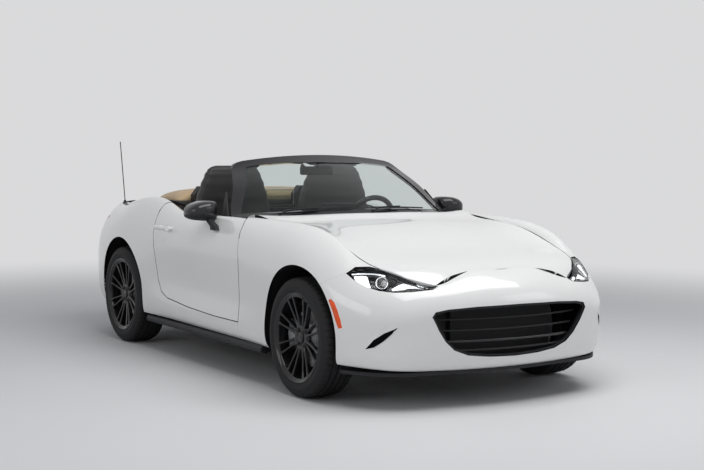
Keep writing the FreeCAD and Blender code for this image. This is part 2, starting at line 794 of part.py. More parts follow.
def strip(half, points):
    """A bar of square section, half its width given, from point to point across the car."""
    corners = [(-half, -half), (half, -half), (half, half), (-half, half), (-half, -half)]
    sections = [Part.makePolygon([p + Vector(0, y, z) for y, z in corners]) for p in points]
    return Part.makeLoft(sections, True, True)


def wiper(pivot, reach):
    """A pivot through the cowl, an arm and a blade lying along the foot of the glass."""
    def beside(share, up, above):
        return on_screen(pivot.x + reach * share, up, above)

    foot = pivot + Vector(0, 0, 14)
    blade = strip(4, [beside(share, 0.075, 9) for share in (0.05, 0.2, 0.35, 0.5, 0.65, 0.8, 0.95)])
    arm = strip(5, [foot, beside(0.12, 0.045, 20), beside(0.3, 0.06, 19), beside(0.5, 0.075, 15)])
    post = Part.makeCylinder(WIPER_PIVOT, 42, pivot - Vector(0, 0, 20), Vector(0, 0, 1))
    return largest(post.fuse([arm, blade]))


WIPER_PIVOT = 9
WIPERS = [(vec(40, front_axle + 676, 888), 470), (vec(-520, front_axle + 768, 879), 480)]


# Mirrors: an egg-shaped shell with a flat back, on a foot that leans out of the door

MIRROR = [
    # x, y behind the front axle, height, half its length, half its height
    (752, 1082, 900, 34, 26),
    (800, 1078, 903, 68, 50),
    (868, 1078, 905, 78, 58),
    (925, 1086, 905, 68, 50),
    (956, 1096, 905, 36, 28),
]


def mirror():
    sections = []
    for x, y, z, long_half, high_half in MIRROR:
        ring = Part.Ellipse(vec(x, front_axle + y, z), long_half, high_half)
        ring.rotate(Placement(vec(x, front_axle + y, z), Rotation(Vector(0, 1, 0), 90)))
        ring.rotate(Placement(vec(x, front_axle + y, z), Rotation(Vector(1, 0, 0), 90)))
        sections.append(Part.Wire(ring.toShape()))
    shell = Part.makeLoft(sections, True)
    flat = Part.makeBox(400, 200, 300, vec(700, front_axle + 1140, 780))
    foot = Part.makeLoft([Part.makePolygon([vec(x, front_axle + y, z) for x, y, z in ring]) for ring in (
        ((800, 925, 800), (800, 1010, 800), (850, 1010, 800), (850, 925, 800), (800, 925, 800)),
        ((815, 1030, 880), (815, 1085, 880), (850, 1085, 880), (850, 1030, 880), (815, 1030, 880)))], True)
    return largest(shell.cut(flat).fuse(foot).cut(left_door))


feature("fuel_flap", fuel_flap())
left_quarter = largest(quarter.cut(flap_cylinder(s.flap_diameter / 2))).fuse(fuel_cup())
NODES["rear_quarters"].Shape = Part.makeCompound([left_quarter, mirrored(quarter)])
feature("front_lamps", Part.makeCompound([both_sides(headlamp()), both_sides(side_lamp())]))
feature("tail_lamps", both_sides(tail_lamp()))
feature("front_grille", grille())
feature("front_lip", front_lip())
screen_corner = prism([vec(x, nose, z) for x, z in SCREEN_CORNER], Vector(0, 2600, 0))
frame_ring = cut_both(screen_layer(0, s.screen_depth).cut(screen_prism(0)), screen_corner)
feature("windscreen_frame", largest(frame_ring))
feature("windscreen_glass", largest(screen_layer(4, 4 + s.glass).common(screen_prism(-s.seam))))
feature("wipers", Part.makeCompound([wiper(pivot, reach) for pivot, reach in WIPERS]))
pivot_holes = [Part.makeCylinder(WIPER_PIVOT + 0.5, 80, pivot - Vector(0, 0, 40), Vector(0, 0, 1))
               for pivot, _ in WIPERS]
NODES["cowl"].Shape = largest(NODES["cowl"].Shape.cut(pivot_holes))
left_mirror = mirror()
feature("mirror_left", left_mirror)
feature("mirror_right", mirrored(left_mirror))

# Side skirts: black strips under the sills, between the wheel arches

skirt_start = front_axle + arch_radius + 45
skirt_end = rear_axle - arch_radius - 45
skirt_inner = 800
skirt_outline = [(812, 173.3), (838, 179.3), (842, 197.3), (834, 213.3), (815, 215.3), (skirt_inner, 206.3),
                 (skirt_inner, 173.3)]
left_skirt = padded("skirt_left", "XZ_Plane", skirt_outline, skirt_end - skirt_start, y=skirt_start)
right_skirt = padded("skirt_right", "XZ_Plane", [(-x, z) for x, z in skirt_outline], skirt_end - skirt_start,
                     y=skirt_start)
skirts = doc.addObject("Part::Compound", "skirts")
skirts.Links = [left_skirt, right_skirt]
keep("side_skirts", skirts)

# Floor, tunnel, sills, hinge pillars and wheel houses

TOWER_HALF = 170.0

floor_top = s.ride_height + s.floor_thickness
sill_inner = 614.0
sill_top = 400.0
seat_base = 235.0
sill_side = s.door_card - 38
cabin_front = front_axle + 660
cabin_rear = rear_axle - 400


def beside_middle(side, low, high):
    """A pair of coordinates on the left, or its mirror image on the right."""
    return (as_size(low), as_size(high)) if side > 0 else (-as_size(high), -as_size(low))


def evenly(half):
    """A pair of coordinates at the same distance on both sides of the middle."""
    return (-as_size(half), as_size(half))


sill_parts = []
for side in (1, -1):
    sill_parts.append(block("inner_sill", beside_middle(side, sill_inner, sill_side),
                            (cabin_front - 40, cabin_rear), (s.ride_height, sill_top)))
    sill_parts.append(block("sill_box", beside_middle(side, sill_side, skirt_inner - s.rest_gap),
                            (cabin_front - 100, cabin_rear + 34), (s.ride_height + 30, 300)))
    sill_parts.append(block("door_seal", beside_middle(side, sill_side, s.door_card - s.rest_gap),
                            (cabin_front + 150, cabin_rear - 30), (372, 392)))
    for inset in (55, 375):
        low = (s.seat_spacing - s.seat_width) / 2 + inset
        length = (cabin_front + 480, cabin_front + 940)
        height = (floor_top - 1, seat_base - s.rest_gap)
        sill_parts.append(block("seat_rail", beside_middle(side, low, low + 40), length, height))
floor_pan = block("floor_pan", evenly(690), (cabin_front, cabin_rear), (s.ride_height, floor_top))
tunnel = block("tunnel", evenly(s.tunnel_width / 2), (cabin_front - 60, cabin_rear), (s.ride_height, 392))
keep("tub", joined("tub_parts", [floor_pan, tunnel] + sill_parts))

firewall_plate = block("firewall_plate", evenly(sill_side), (cabin_front - 32, cabin_front - 12),
                       (sill_top + s.rest_gap, 790))
rail_base = 510 + s.rest_gap
rail_top = rail_base + 70
rail_front = nose + 205 + s.rest_gap
rails = []
for side in (1, -1):
    rails.append(block("front_rail", beside_middle(side, 340, 430), (rail_front, cabin_front - 12),
                       (rail_base, rail_top)))
    rails.append(block("dash_bracket", beside_middle(side, 420, 480),
                       (cabin_front - 12, cabin_front + 40 - s.rest_gap), (680, 720)))
    x, y = 320.0 * side, cabin_front + 46
    rails.append(block("cowl_foot", beside_middle(side, 295, 345), (cabin_front - 32, y + 10), (770, 790)))
    rails.append(rod("cowl_stand", "z", 8, under("cowl", x, y) - 780, x, y, 780))
    x, y = 300.0 * side, rail_front + 20
    rails.append(rod("bonnet_stop", "z", 8, under("bonnet", x, y) - rail_top + 10, x, y, rail_top - 10))
rails.append(block("slam_beam", evenly(430), (rail_front, rail_front + 40), (rail_base, rail_top)))
keep("firewall", joined("firewall_parts", [firewall_plate] + rails))

behind_cabin = cabin_rear + s.rest_gap
bulkhead = block("bulkhead_plate", evenly(640), (behind_cabin, cabin_rear + 24), (s.ride_height + 60, 850))
shelf = block("top_shelf", evenly(598), (behind_cabin, rear_axle + 200), (815, 835))
boot_base = 400
rear_rails = []
for side in (1, -1):
    length = (behind_cabin, tail - 90)
    rear_rails.append(block("rear_rail", beside_middle(side, 400, 480), length, (boot_base, boot_base + 70)))
    side_wall = beside_middle(side, 470, 480)
    rear_rails.append(block("boot_side", side_wall, (rear_axle + 190, tail - 156), (boot_base, 790)))
    x, y = 468.0 * side, tail - 185
    rear_rails.append(rod("lid_stop", "z", 8, under("boot_lid", x, y) - 780, x, y, 780))
    x, y = 655.0 * side, rear_axle + 290
    rear_rails.append(block("quarter_arm", beside_middle(side, 475, 665), (y - 10, y + 10), (775, 790)))
    top = under("rear_quarters", x, y, 6, 6)
    rear_rails.append(rod("quarter_stand", "z", 8, top - 780, x, y, 780))
boot_floor = block("boot_floor", evenly(480), (rear_axle + 200, tail - 90), (boot_base, boot_base + 15))
wall_front = rear_axle + TOWER_HALF + s.rest_gap
back_wall = block("boot_wall", evenly(480), (wall_front, rear_axle + 200), (boot_base, 835))
keep("rear_bulkhead", joined("bulkhead_parts", [bulkhead, shelf, boot_floor, back_wall] + rear_rails))


LINER_FIT = 0.9


def wheel_liner(y, x_from):
    """The upper part of a thin ring round a wheel."""
    inside = arch_radius + s.liner_gap
    ring = arch_cylinder(y, inside + 5, x_from, 830.0).cut(arch_cylinder(y, inside, x_from - 20))
    return ring.cut(Part.makeBox(900, 1200, 500, vec(x_from - 50, y - 600, arch_height - 600)))


for node, axle, first, last in (("front_liners", front_axle, 3.4, 9), ("rear_liners", rear_axle, 9, 14)):
    liner = wheel_liner(axle, 600.0)
    liner = largest(liner.cut(skin_layer(first, last, -20, s.panel + LINER_FIT)))
    feature(node, both_sides(liner))

# Cabin

cabin = front_axle


def seat(side, name):
    """A side outline and a front outline met together."""
    along = [(1120, seat_base), (1105, 335), (1140, 372), (1500, 322), (1548, 380), (1632, 880), (1622, 960),
             (1636, 1128), (1665, s.seat_height), (1705, 1135), (1738, 960), (1735, 700), (1660, 330),
             (1620, seat_base)]
    half = s.seat_width / 2
    upright = [(half, seat_base), (half, 820), (half - 20, 920), (half - 60, 1010), (half - 90, 1110),
               (half - 125, s.seat_height)]
    upright = upright + [(-x, z) for x, z in reversed(upright)]
    side_pad = padded(name + "_side", "YZ_Plane", along, s.seat_width, y=cabin, both_ways=True)
    front_pad = padded(name + "_front", "XZ_Plane", upright, 900, y=cabin + 1000)
    both = doc.addObject("Part::MultiCommon", name)
    both.Shapes = [side_pad, front_pad]
    bind(both, "Placement.Base.x", s.seat_spacing / 2 * side)
    return both


seats = doc.addObject("Part::Compound", "seat_pair")
seats.Links = [seat(1, "seat_l"), seat(-1, "seat_r")]
keep("seats", seats)

wheel_centre_y = cabin + 1235
wheel_centre_z = as_size(805)
wheel_centre_x = s.seat_spacing / 2
column_tilt = math.radians(float(s.column_angle))
column_direction = Vector(0, math.cos(column_tilt), math.sin(column_tilt))
wheel_centre = vec(wheel_centre_x, wheel_centre_y, wheel_centre_z)
to_column = Rotation(Vector(1, 0, 0), float(s.column_angle) - 90)


def on_column(thing, along):
    """Puts a primitive's origin on the steering axis, its own Z along the axis."""
    spot = wheel_centre + column_direction * along
    thing.Placement = Placement(spot, to_column)
    return thing


grip_ring = doc.addObject("Part::Torus", "grip_ring")
bind(grip_ring, "Radius1", (s.wheel_rim - s.grip) / 2)
bind(grip_ring, "Radius2", s.grip / 2)
on_column(grip_ring, 0)
wheel_hub = doc.addObject("Part::Cylinder", "wheel_hub")
bind(wheel_hub, "Radius", s.grip * 2)
wheel_hub.Height = 52
on_column(wheel_hub, -50)
spokes = []
for turn in (-5, 185, 90):
    spoke = doc.addObject("Part::Box", "wheel_spoke")
    bind(spoke, "Length", (s.wheel_rim - s.grip) / 2)
    spoke.Width = 34
    spoke.Height = 16
    tilt = to_column.multiply(Rotation(Vector(0, 0, 1), turn))
    spoke.Placement = Placement(wheel_centre + column_direction * -24 + tilt.multVec(Vector(0, -17, 0)), tilt)
    spokes.append(spoke)
keep("steering_wheel", joined("steering_wheel_parts", [grip_ring, wheel_hub] + spokes))

column = doc.addObject("Part::Cylinder", "column_tube")
bind(column, "Radius", s.grip)
column.Height = 430
on_column(column, -480.3)
keep("steering_column", column)

dash_outline = [(700, 660), (700, 740), (770, 800), (860, 815), (960, 846), (1060, 846), (1104, 812),
                (1112, 740), (1050, 660), (960, 600), (760, 600)]
dash_pad = padded("dash_body", "YZ_Plane", dash_outline, (s.door_card - 45) * 2, y=cabin, both_ways=True)
column_space = doc.addObject("Part::Cylinder", "column_space")
bind(column_space, "Radius", s.grip + s.seam)
column_space.Height = 600
on_column(column_space, -560)
keep("dashboard", minus("dash_cut", dash_pad, column_space))

console_half = s.tunnel_width / 2 - 20
console_end = cabin + 1640
console_box = block("console_box", evenly(console_half), (cabin + 1010, console_end), (392 + s.rest_gap, 455))
armrest = block("armrest", evenly(console_half), (cabin + 1420, console_end), (455, 520))
lever = rod("lever", "z", 8, 120, 0, cabin + 1180, 450)
knob = doc.addObject("Part::Sphere", "knob")
knob.Radius = 24
place(knob, 0, cabin + 1180, 580)
brake = block("hand_brake", beside_middle(1, 40, 66), (cabin + 1200, cabin + 1400), (450, 485))
keep("console", joined("console_parts", [console_box, armrest, lever, knob, brake]))

hoop_outline = [(230, 836), (230, 960), (270, 1012), (460, 1012), (500, 960), (500, 836)]
hoop_hole = [(268, 860), (268, 945), (290, 974), (440, 974), (462, 945), (462, 860)]
hoops = []
for side in (1, -1):
    outer = padded("hoop", "XZ_Plane", [(side * x, z) for x, z in hoop_outline], 60, y=cabin_rear + 32)
    hole = padded("hoop_hole", "XZ_Plane", [(side * x, z) for x, z in hoop_hole], 80, y=cabin_rear + 22)
    hoops.append(minus("hoop_ring", outer, hole))
hoop_bar = block("hoop_bar", evenly(240), (cabin_rear + 40, cabin_rear + 70), (835 + s.rest_gap, 880))
keep("roll_hoops", joined("hoop_parts", hoops + [hoop_bar]))

stack_foot = 835 + s.rest_gap
stack_outline = [(-290, stack_foot), (-285, 950), (-250, 1000), (-60, 1005), (60, 970), (125, 920),
                 (125, stack_foot)]
keep("soft_top", padded("soft_top_body", "YZ_Plane", stack_outline, 1190, y=rear_axle, both_ways=True))

mast_foot = vec(-638, rear_axle + 452, 880)
mast = Part.makeCylinder(3, float(s.antenna), mast_foot, Vector(0, 84, 410))
mast_base = Part.makeCone(16, 6, 26, mast_foot + Vector(0, 0, -8), Vector(0, 84, 410))
feature("antenna", largest(mast.fuse(mast_base).cut(NODES["rear_quarters"].Shape)))

# Running gear

bead = s.rim_diameter / 2
half_rim = s.rim_width / 2
hub_face = s.wheel_offset
window_outer = bead - 20
window_inner = 62.0
pair_half = 180.0 / float(s.spoke_count)


def spoke_windows(body, base):
    """The narrow gap in a pair of blades and the wide one beside it, repeated round the wheel."""
    root_half = 7.0
    tip_half = s.blade_spread / 2
    blade = s.blade_width / 2
    narrow_start = 92.0
    at_start = root_half + (tip_half - root_half) * ((narrow_start - 60) / 140)
    narrow = [(narrow_start, at_start - blade), (window_outer, tip_half - blade),
              (window_outer, blade - tip_half), (narrow_start, blade - at_start)]
    ahead, across = math.cos(math.radians(pair_half)), math.sin(math.radians(pair_half))

    def turned_point(radius, lateral):
        """A point beside a blade, seen from the middle of the wide window next to it."""
        return radius * ahead + lateral * across, as_size(radius * -across) + lateral * ahead

    tip_edge = turned_point(window_outer, tip_half + blade)
    root_edge = turned_point(as_size(window_inner), as_size(root_half) + blade)
    wide_half = [(window_outer + 1, tip_edge[1] * 0.5), tip_edge, root_edge]
    wide = [(r, -t) for r, t in reversed(wide_half)] + wide_half
    pockets = []
    for name, outline, turn in (("narrow", narrow, 0), ("wide", wide, pair_half)):
        cos_turn, sin_turn = math.cos(math.radians(turn)), math.sin(math.radians(turn))
        points = [(r * cos_turn - t * sin_turn, r * sin_turn + t * cos_turn) for r, t in
                  ((as_size(r), as_size(t)) for r, t in outline)]
        sketch = profile(body, "YZ_Plane", points)
        pocket = body.newObject("PartDesign::Pocket", f"{base}_{name}")
        pocket.Profile = sketch
        pocket.Type = 1
        pocket.Midplane = True
        doc.recompute()
        pattern = body.newObject("PartDesign::PolarPattern", f"{base}_{name}_round")
        pattern.Originals = [pocket]
        pattern.Axis = (sketch, ["N_Axis"])
        pattern.Angle = 360
        bind(pattern, "Occurrences", s.spoke_count)
        body.Tip = pattern
        pockets.append(pattern)
    return pockets


def rim_body(name):
    flange = half_rim + 10
    well = half_rim + 2
    outline = [(hub_face, 0), (hub_face, 72), (hub_face + 6, 80), (half_rim - 30, bead - 10),
               (-flange, bead - 10), (-flange, bead + 16), (-well, bead + 16), (-well, bead), (well, bead),
               (well, bead + 16),
               (flange, bead + 16), (flange, bead - 2), (half_rim + 3, bead - 12), (half_rim - 6, 150),
               (hub_face + 27, 76), (hub_face + 22, 34), (hub_face + 22, 0)]
    body = turned(name, outline)
    doc.recompute()
    spoke_windows(body, name)
    return body


def tyre_outline():
    half = s.tyre_width / 2
    tread = wheel_radius
    seat_radius = bead + 0.4
    return [(-half_rim - 1, seat_radius), (-half_rim - 1, bead + 20), (-half, bead + 48),
            (-half + 9, tread - 12), (-half + 26, tread), (half - 26, tread), (half - 9, tread - 12),
            (half, bead + 48), (half_rim + 1, bead + 20), (half_rim + 1, seat_radius)]


hub_radius = 32.0
bearing_gap = 0.5


def disc_outline(width):
    edge = s.disc_diameter / 2
    outer = width - 2
    return [(hub_face, 0), (hub_face, 68), (outer, 68), (outer, edge), (-2, edge), (-2, 62),
            (hub_face - 7, 62), (hub_face - 7, hub_radius), (-40, hub_radius), (-40, 0)]


ear_reach = 158.0
ear_thick = 20.0
pivot_gap = 0.5
subframe_side = 350.0


def knuckle(width, spread_up):
    """A left upright with its bearing housing and caliper, about the wheel's middle."""
    ring = Part.makeCylinder(56, 66, Vector(-38, 0, 0), Vector(1, 0, 0))
    plate = Part.makePolygon([Vector(-38, y, z) for y, z in (
        (-34, -158), (34, -158), (52, -40), (78, 0), (60, 60), (26, spread_up), (-26, spread_up), (-52, 40),
        (-52, -40), (-34, -158))])
    plate = Part.Face(plate).extrude(Vector(28, 0, 0))
    edge = float(s.disc_diameter) / 2
    outer = float(width) - 2
    corners = [Vector(-34, r * math.cos(math.radians(a)), r * math.sin(math.radians(a))) for r, a in (
        (86, -30), (edge + 30, -28), (edge + 34, 0), (edge + 30, 28), (86, 30))]
    caliper = prism(corners, Vector(34 + outer + 26, 0, 0))
    slot = Part.makeCylinder(edge + 6, outer + 12, Vector(-7, 0, 0), Vector(1, 0, 0))
    caliper = caliper.cut(slot)
    link = Part.makeBox(28, 60, 60, Vector(-38, 50, -30))
    ears = []
    for z in (-ear_reach, ear_reach - ear_thick):
        ears.append(Part.makeCylinder(20, ear_thick, Vector(-kingpin_in, 0, z)))
        ears.append(Part.makeBox(kingpin_in - 20, 40, ear_thick, Vector(-kingpin_in, -20, z)))
    shape = ring.fuse([plate, caliper, link] + ears)
    shape = shape.cut(Part.makeCylinder(hub_radius + bearing_gap, 200, Vector(-100, 0, 0), Vector(1, 0, 0)))
    return largest(shape.removeSplitter())


CORNERS = [
    ("front_left", 1, s.front_track, front_axle, s.front_disc_width),
    ("front_right", -1, s.front_track, front_axle, s.front_disc_width),
    ("rear_left", 1, s.rear_track, rear_axle, s.rear_disc_width),
    ("rear_right", -1, s.rear_track, rear_axle, s.rear_disc_width),
]
rear_uprights = []
for corner, side, track, axle, disc_width in CORNERS:
    facing = Rotation(Vector(0, 0, 1), 0 if side > 0 else 180)
    spot = (track / 2 * side, axle, wheel_radius)
    for kind, make in (("tyre", lambda name: turned(name, tyre_outline())),
                       ("rim", rim_body),
                       ("disc", lambda name: turned(name, disc_outline(disc_width)))):
        piece = make(f"{kind}_{corner}_body")
        keep(f"{kind}_{corner}", place(piece, *spot, rotation=facing))
    upright = knuckle(disc_width, ear_reach)
    if side < 0:
        upright = mirrored(upright)
    upright.translate(vec(*spot))
    if axle is front_axle:
        feature("knuckle_left" if side > 0 else "knuckle_right", upright)
    else:
        rear_uprights.append(upright)


def tube(radius, *points):
    """Straight round bars from point to point, with round joints."""
    shape = None
    for a, b in zip(points, points[1:]):
        bar = Part.makeCylinder(radius, (b - a).Length, a, b - a)
        bar = bar.fuse(Part.makeSphere(radius, a))
        shape = bar if shape is None else shape.fuse(bar)
    return shape.fuse(Part.makeSphere(radius, points[-1]))


def arm(axle, track, ear_face, ball, inner_height, reach, thick):
    """One wishbone: two legs from the subframe to a post at the upright's ear."""
    post = vec(track / 2 - kingpin_in, axle, wheel_radius + ball)
    post_end = float(wheel_radius) + ear_face
    low, high = sorted((post.z, post_end))
    legs = [tube(thick / 2, vec(subframe_side, axle + side * reach, inner_height), post) for side in (-1, 1)]
    stub = Part.makeCylinder(14, high - low, Vector(post.x, post.y, low))
    return legs[0].fuse([legs[1], stub])


def suspension(axle, track, beam, gap):
    """The subframe with both sides' wishbones and dampers."""
    lower = arm(axle, track, -ear_reach - gap, -ear_reach - 18, 170, 150, 20.0)
    upper = arm(axle, track, ear_reach + gap, ear_reach + 18, 498, 110, 16.0)
    foot = vec(track / 2 - kingpin_in - 127, axle - 57, 146)
    damper = tube(26, foot, foot + Vector(-40, 0, 430))
    side = lower.fuse([upper, damper])
    return beam.fuse([side, mirrored(side)])


def subframe(axle, beam_width):
    """A cross beam with two side towers that carry the wishbones."""
    beam = Part.makeBox(700, beam_width, 60, vec(-subframe_side, axle - beam_width / 2, 150))
    towers = [Part.makeBox(40, TOWER_HALF * 2, 360, vec(x, axle - TOWER_HALF, 150))
              for x in (subframe_side - 20, -subframe_side - 20)]
    return beam.fuse(towers)


front_gear = suspension(front_axle, s.front_track, subframe(front_axle, 110), pivot_gap)
feature("front_suspension", largest(front_gear))
rear_gear = suspension(rear_axle, s.rear_track, subframe(rear_axle, 220), -2.0)
shaft_end = s.rear_track / 2 - 50
shaft_start = vec(-shaft_end, rear_axle, wheel_radius)
half_shaft = Part.makeCylinder(14, float(shaft_end * 2), shaft_start, Vector(1, 0, 0))
diff = Part.makeBox(220, 260, 170, vec(-110, rear_axle - 130, 205))
rear_gear = rear_gear.fuse([diff] + rear_uprights)
bearing = hub_radius + bearing_gap
bearings = [Part.makeCylinder(bearing, 200, vec(middle - 100, rear_axle, wheel_radius), Vector(1, 0, 0))
            for middle in (shaft_end, -shaft_end)]
feature("rear_suspension", largest(rear_gear.cut(bearings).fuse(half_shaft)))

engine_base = 210 + s.rest_gap
keep("engine", block("engine_block", evenly(215), (front_axle - 20, front_axle + 600), (engine_base, 650)))
core = block("radiator_core", evenly(310), (nose + 165, rail_front - s.rest_gap), (240, 600))
keep("radiator", core)


def tailpipes(radius, start):
    return [Part.makeCylinder(float(radius), 130, vec(x, tail + start, 262), Vector(0, 1, 0))
            for x in (-505, -415)]


before_axle = vec(-60, rear_axle - 150, 112)
pipe = tube(28, vec(-60, front_axle + 500, 112), before_axle)
link_pipe = tube(28, before_axle, vec(-60, rear_axle + 250, 112), vec(-200, tail - 300, 220))
silencer = Part.makeBox(620, 190, 160, vec(-560, tail - 330, 190))
exhaust = pipe.fuse([silencer, link_pipe] + tailpipes(s.tailpipe / 2, -145))
feature("exhaust", largest(exhaust.cut(tailpipes(s.tailpipe / 2 - 3, -130))))

doc.recompute()
bad = [thing.Label for thing in doc.Objects if "Invalid" in thing.State or "Error" in thing.State]
for node, thing in NODES.items():
    if thing.Shape.isNull() or not thing.Shape.isValid():
        bad.append(node)
if bad:
    raise RuntimeError(f"failed: {sorted(set(bad))}")
os.makedirs("parts", exist_ok=True)
for node, thing in NODES.items():
    thing.Shape.exportStep(os.path.join("parts", f"{node}.step"))
print(len(NODES), "nodes")
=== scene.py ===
import json
from math import copysign, cos, dist, exp, pi, radians, sin, sqrt

import bmesh
import bpy
from mathutils import Matrix, Vector
from mathutils.bvhtree import BVHTree


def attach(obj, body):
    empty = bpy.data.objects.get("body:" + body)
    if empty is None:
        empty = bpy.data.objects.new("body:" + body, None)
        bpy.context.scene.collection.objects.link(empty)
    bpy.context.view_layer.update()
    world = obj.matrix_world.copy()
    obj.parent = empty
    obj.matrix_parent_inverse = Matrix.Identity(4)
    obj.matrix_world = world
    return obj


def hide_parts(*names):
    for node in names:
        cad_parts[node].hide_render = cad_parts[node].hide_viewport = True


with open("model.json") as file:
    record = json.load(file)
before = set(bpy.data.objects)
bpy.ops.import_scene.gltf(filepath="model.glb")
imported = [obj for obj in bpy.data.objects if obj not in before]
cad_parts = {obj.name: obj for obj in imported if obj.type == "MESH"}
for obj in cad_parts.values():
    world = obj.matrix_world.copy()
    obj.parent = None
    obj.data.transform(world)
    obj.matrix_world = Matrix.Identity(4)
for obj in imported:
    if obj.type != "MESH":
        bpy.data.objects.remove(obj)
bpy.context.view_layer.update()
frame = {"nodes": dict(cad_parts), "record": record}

# A white open roadster. Metres, +Z up, the front faces -Y, the car's left is +X.
NODES = frame["nodes"]
SCENE = bpy.context.scene
SIDES = ((1, "left"), (-1, "right"))
# Where the axles stand along the car, the tyres' radius, and how far out the driver sits
FRONT, REAR = -1.2, 1.11
WHEEL_R = 0.308
DRIVER = 0.365


# Materials

GRAIN_DEPTH = 0.0006


def fill(tree, node, inputs):
    """Sets a node's inputs: each is a number or colour, or another node's output."""
    for socket, value in inputs.items():
        if isinstance(value, bpy.types.NodeSocket):
            tree.links.new(value, node.inputs[socket])
        else:
            node.inputs[socket].default_value = value


def add_node(tree, kind, inputs, **settings):
    made = tree.nodes.new(f"ShaderNode{kind}")
    for key, value in settings.items():
        setattr(made, key, value)
    fill(tree, made, inputs)
    return made


def grain_height(tree, where, kind, scale):
    """The height of a fine relief: plain noise, cells with ridges between them, or woven threads."""
    if kind == "noise":
        return add_node(tree, "TexNoise", {"Scale": scale, "Detail": 6, "Vector": where}).outputs["Fac"]
    if kind == "cells":
        cells = add_node(tree, "TexVoronoi", {"Scale": scale, "Vector": where}, feature="DISTANCE_TO_EDGE")
        return cells.outputs["Distance"]
    threads = [
        add_node(tree, "TexWave", {"Scale": scale, "Vector": where}, bands_direction=way).outputs["Fac"]
        for way in "XYZ"]
    crossed = add_node(tree, "Math", {0: threads[0], 1: threads[1]}, operation="MULTIPLY").outputs[0]
    return add_node(tree, "Math", {0: crossed, 1: threads[2]}).outputs[0]


def material(name, color, rough, metal=0.0, vary=0.05, scale=5.0, noise=None, cells=None, weave=None,
             rough_vary=0.0, specular=0.5, coat=(0.0, 0.03), **sockets):
    """A surface with slow colour variation. noise, cells or weave is its grain's scale and strength."""
    made = bpy.data.materials.new(name)
    made.use_nodes = True
    tree = made.node_tree
    shader = tree.nodes["Principled BSDF"]
    where = add_node(tree, "TexCoord", {}).outputs["Object"]
    slow = add_node(tree, "TexNoise", {"Scale": scale, "Detail": 4, "Vector": where}).outputs["Fac"]
    dark, bright = ([min(1, c * share) for c in color] + [1] for share in (1 - vary, 1 + vary))
    tone = add_node(tree, "Mix", {0: slow, 6: dark, 7: bright}, data_type="RGBA").outputs[2]
    fill(tree, shader, {"Base Color": tone, "Roughness": rough, "Metallic": metal,
                        "Specular IOR Level": specular, "Coat Weight": coat[0], "Coat Roughness": coat[1]})
    if rough_vary:
        low, high = max(0.0, rough - rough_vary), min(1.0, rough + rough_vary)
        spread = add_node(tree, "MapRange", {"Value": slow, "To Min": low, "To Max": high})
        fill(tree, shader, {"Roughness": spread.outputs[0]})
    for kind, grain in (("noise", noise), ("cells", cells), ("weave", weave)):
        if grain:
            height = grain_height(tree, where, kind, grain[0])
            bump = add_node(tree, "Bump", {"Strength": grain[1], "Distance": GRAIN_DEPTH, "Height": height})
            fill(tree, shader, {"Normal": bump.outputs["Normal"]})
    names = {key: key.replace("_", " ").title().replace("Ior", "IOR") for key in sockets}
    fill(tree, shader, {names[key]: value for key, value in sockets.items()})
    return made


PAINT = material("pearl_white_paint", (0.8, 0.8, 0.79), 0.32, vary=0.012, scale=30, noise=(900, 0.02),
                 coat=(1.0, 0.03))
GLOSS = material("gloss_black_paint", (0.01, 0.01, 0.012), 0.3, vary=0.2, noise=(700, 0.02),
                 specular=0.1, coat=(0.8, 0.04))
TRIM = material("moulded_black_plastic", (0.016, 0.016, 0.018), 0.55, vary=0.15, scale=12,
                cells=(900, 0.25), rough_vary=0.06, specular=0.3)
RUBBER = material("weatherstrip_rubber", (0.015, 0.015, 0.016), 0.7, vary=0.2, noise=(600, 0.2))
TYRE = material("tyre_rubber", (0.016, 0.016, 0.017), 0.72, vary=0.25, scale=18, noise=(500, 0.35),
                rough_vary=0.08, specular=0.25)
# Plastic darker and less reflective than the real black plastic, as painted shade: the bumper's slot pockets,
# the groove round the mirror caps and the lamps' upper band
SHADE = material("painted_shade_plastic", (0.006, 0.006, 0.007), 0.8, vary=0.3, noise=(400, 0.2), specular=0.08)
WHEEL = material("wheel_black_lacquer", (0.01, 0.01, 0.011), 0.3, vary=0.2, noise=(900, 0.02),
                 specular=0.1, coat=(0.6, 0.06))
CAST = material("cast_alloy", (0.3, 0.3, 0.31), 0.5, metal=0.9, vary=0.15, scale=14, noise=(320, 0.5),
                rough_vary=0.12)
DARK_CAST = material("dark_cast_iron", (0.09, 0.085, 0.08), 0.65, metal=0.6, vary=0.3, scale=12,
                     noise=(260, 0.6), rough_vary=0.1)
STEEL = material("turned_steel", (0.55, 0.55, 0.56), 0.33, metal=1.0, vary=0.1, scale=20,
                 noise=(380, 0.15), rough_vary=0.08)
CHROME = material("bright_chrome", (0.82, 0.82, 0.84), 0.08, metal=1.0, vary=0.02, noise=(500, 0.02))
# Dark coating of the underbody and wheel liners, also used as painted shade inside the body panels and on the
# walls of their shut lines
UNDERBODY_AND_GAP_SHADE = material("underbody_coating_and_painted_shade", (0.014, 0.014, 0.015), 0.85, vary=0.3, scale=9, noise=(220, 0.7),
                 specular=0.1)
CABIN = material("soft_touch_dash", (0.028, 0.028, 0.03), 0.62, vary=0.15, scale=10, cells=(700, 0.35))
LEATHER = material("black_leather", (0.03, 0.029, 0.029), 0.46, vary=0.25, scale=14, cells=(420, 0.45),
                   rough_vary=0.08, specular=0.3, sheen_weight=0.05)
STITCH = material("grey_thread", (0.3, 0.3, 0.3), 0.7, vary=0.2, scale=80, noise=(1500, 0.4))
CARPET = material("cabin_carpet", (0.02, 0.02, 0.021), 0.95, vary=0.4, scale=60, noise=(900, 1.0),
                  sheen_weight=0.3)
CANVAS = material("tan_canvas", (0.62, 0.45, 0.27), 0.85, vary=0.1, scale=9, weave=(260, 0.5),
                  sheen_weight=0.25)
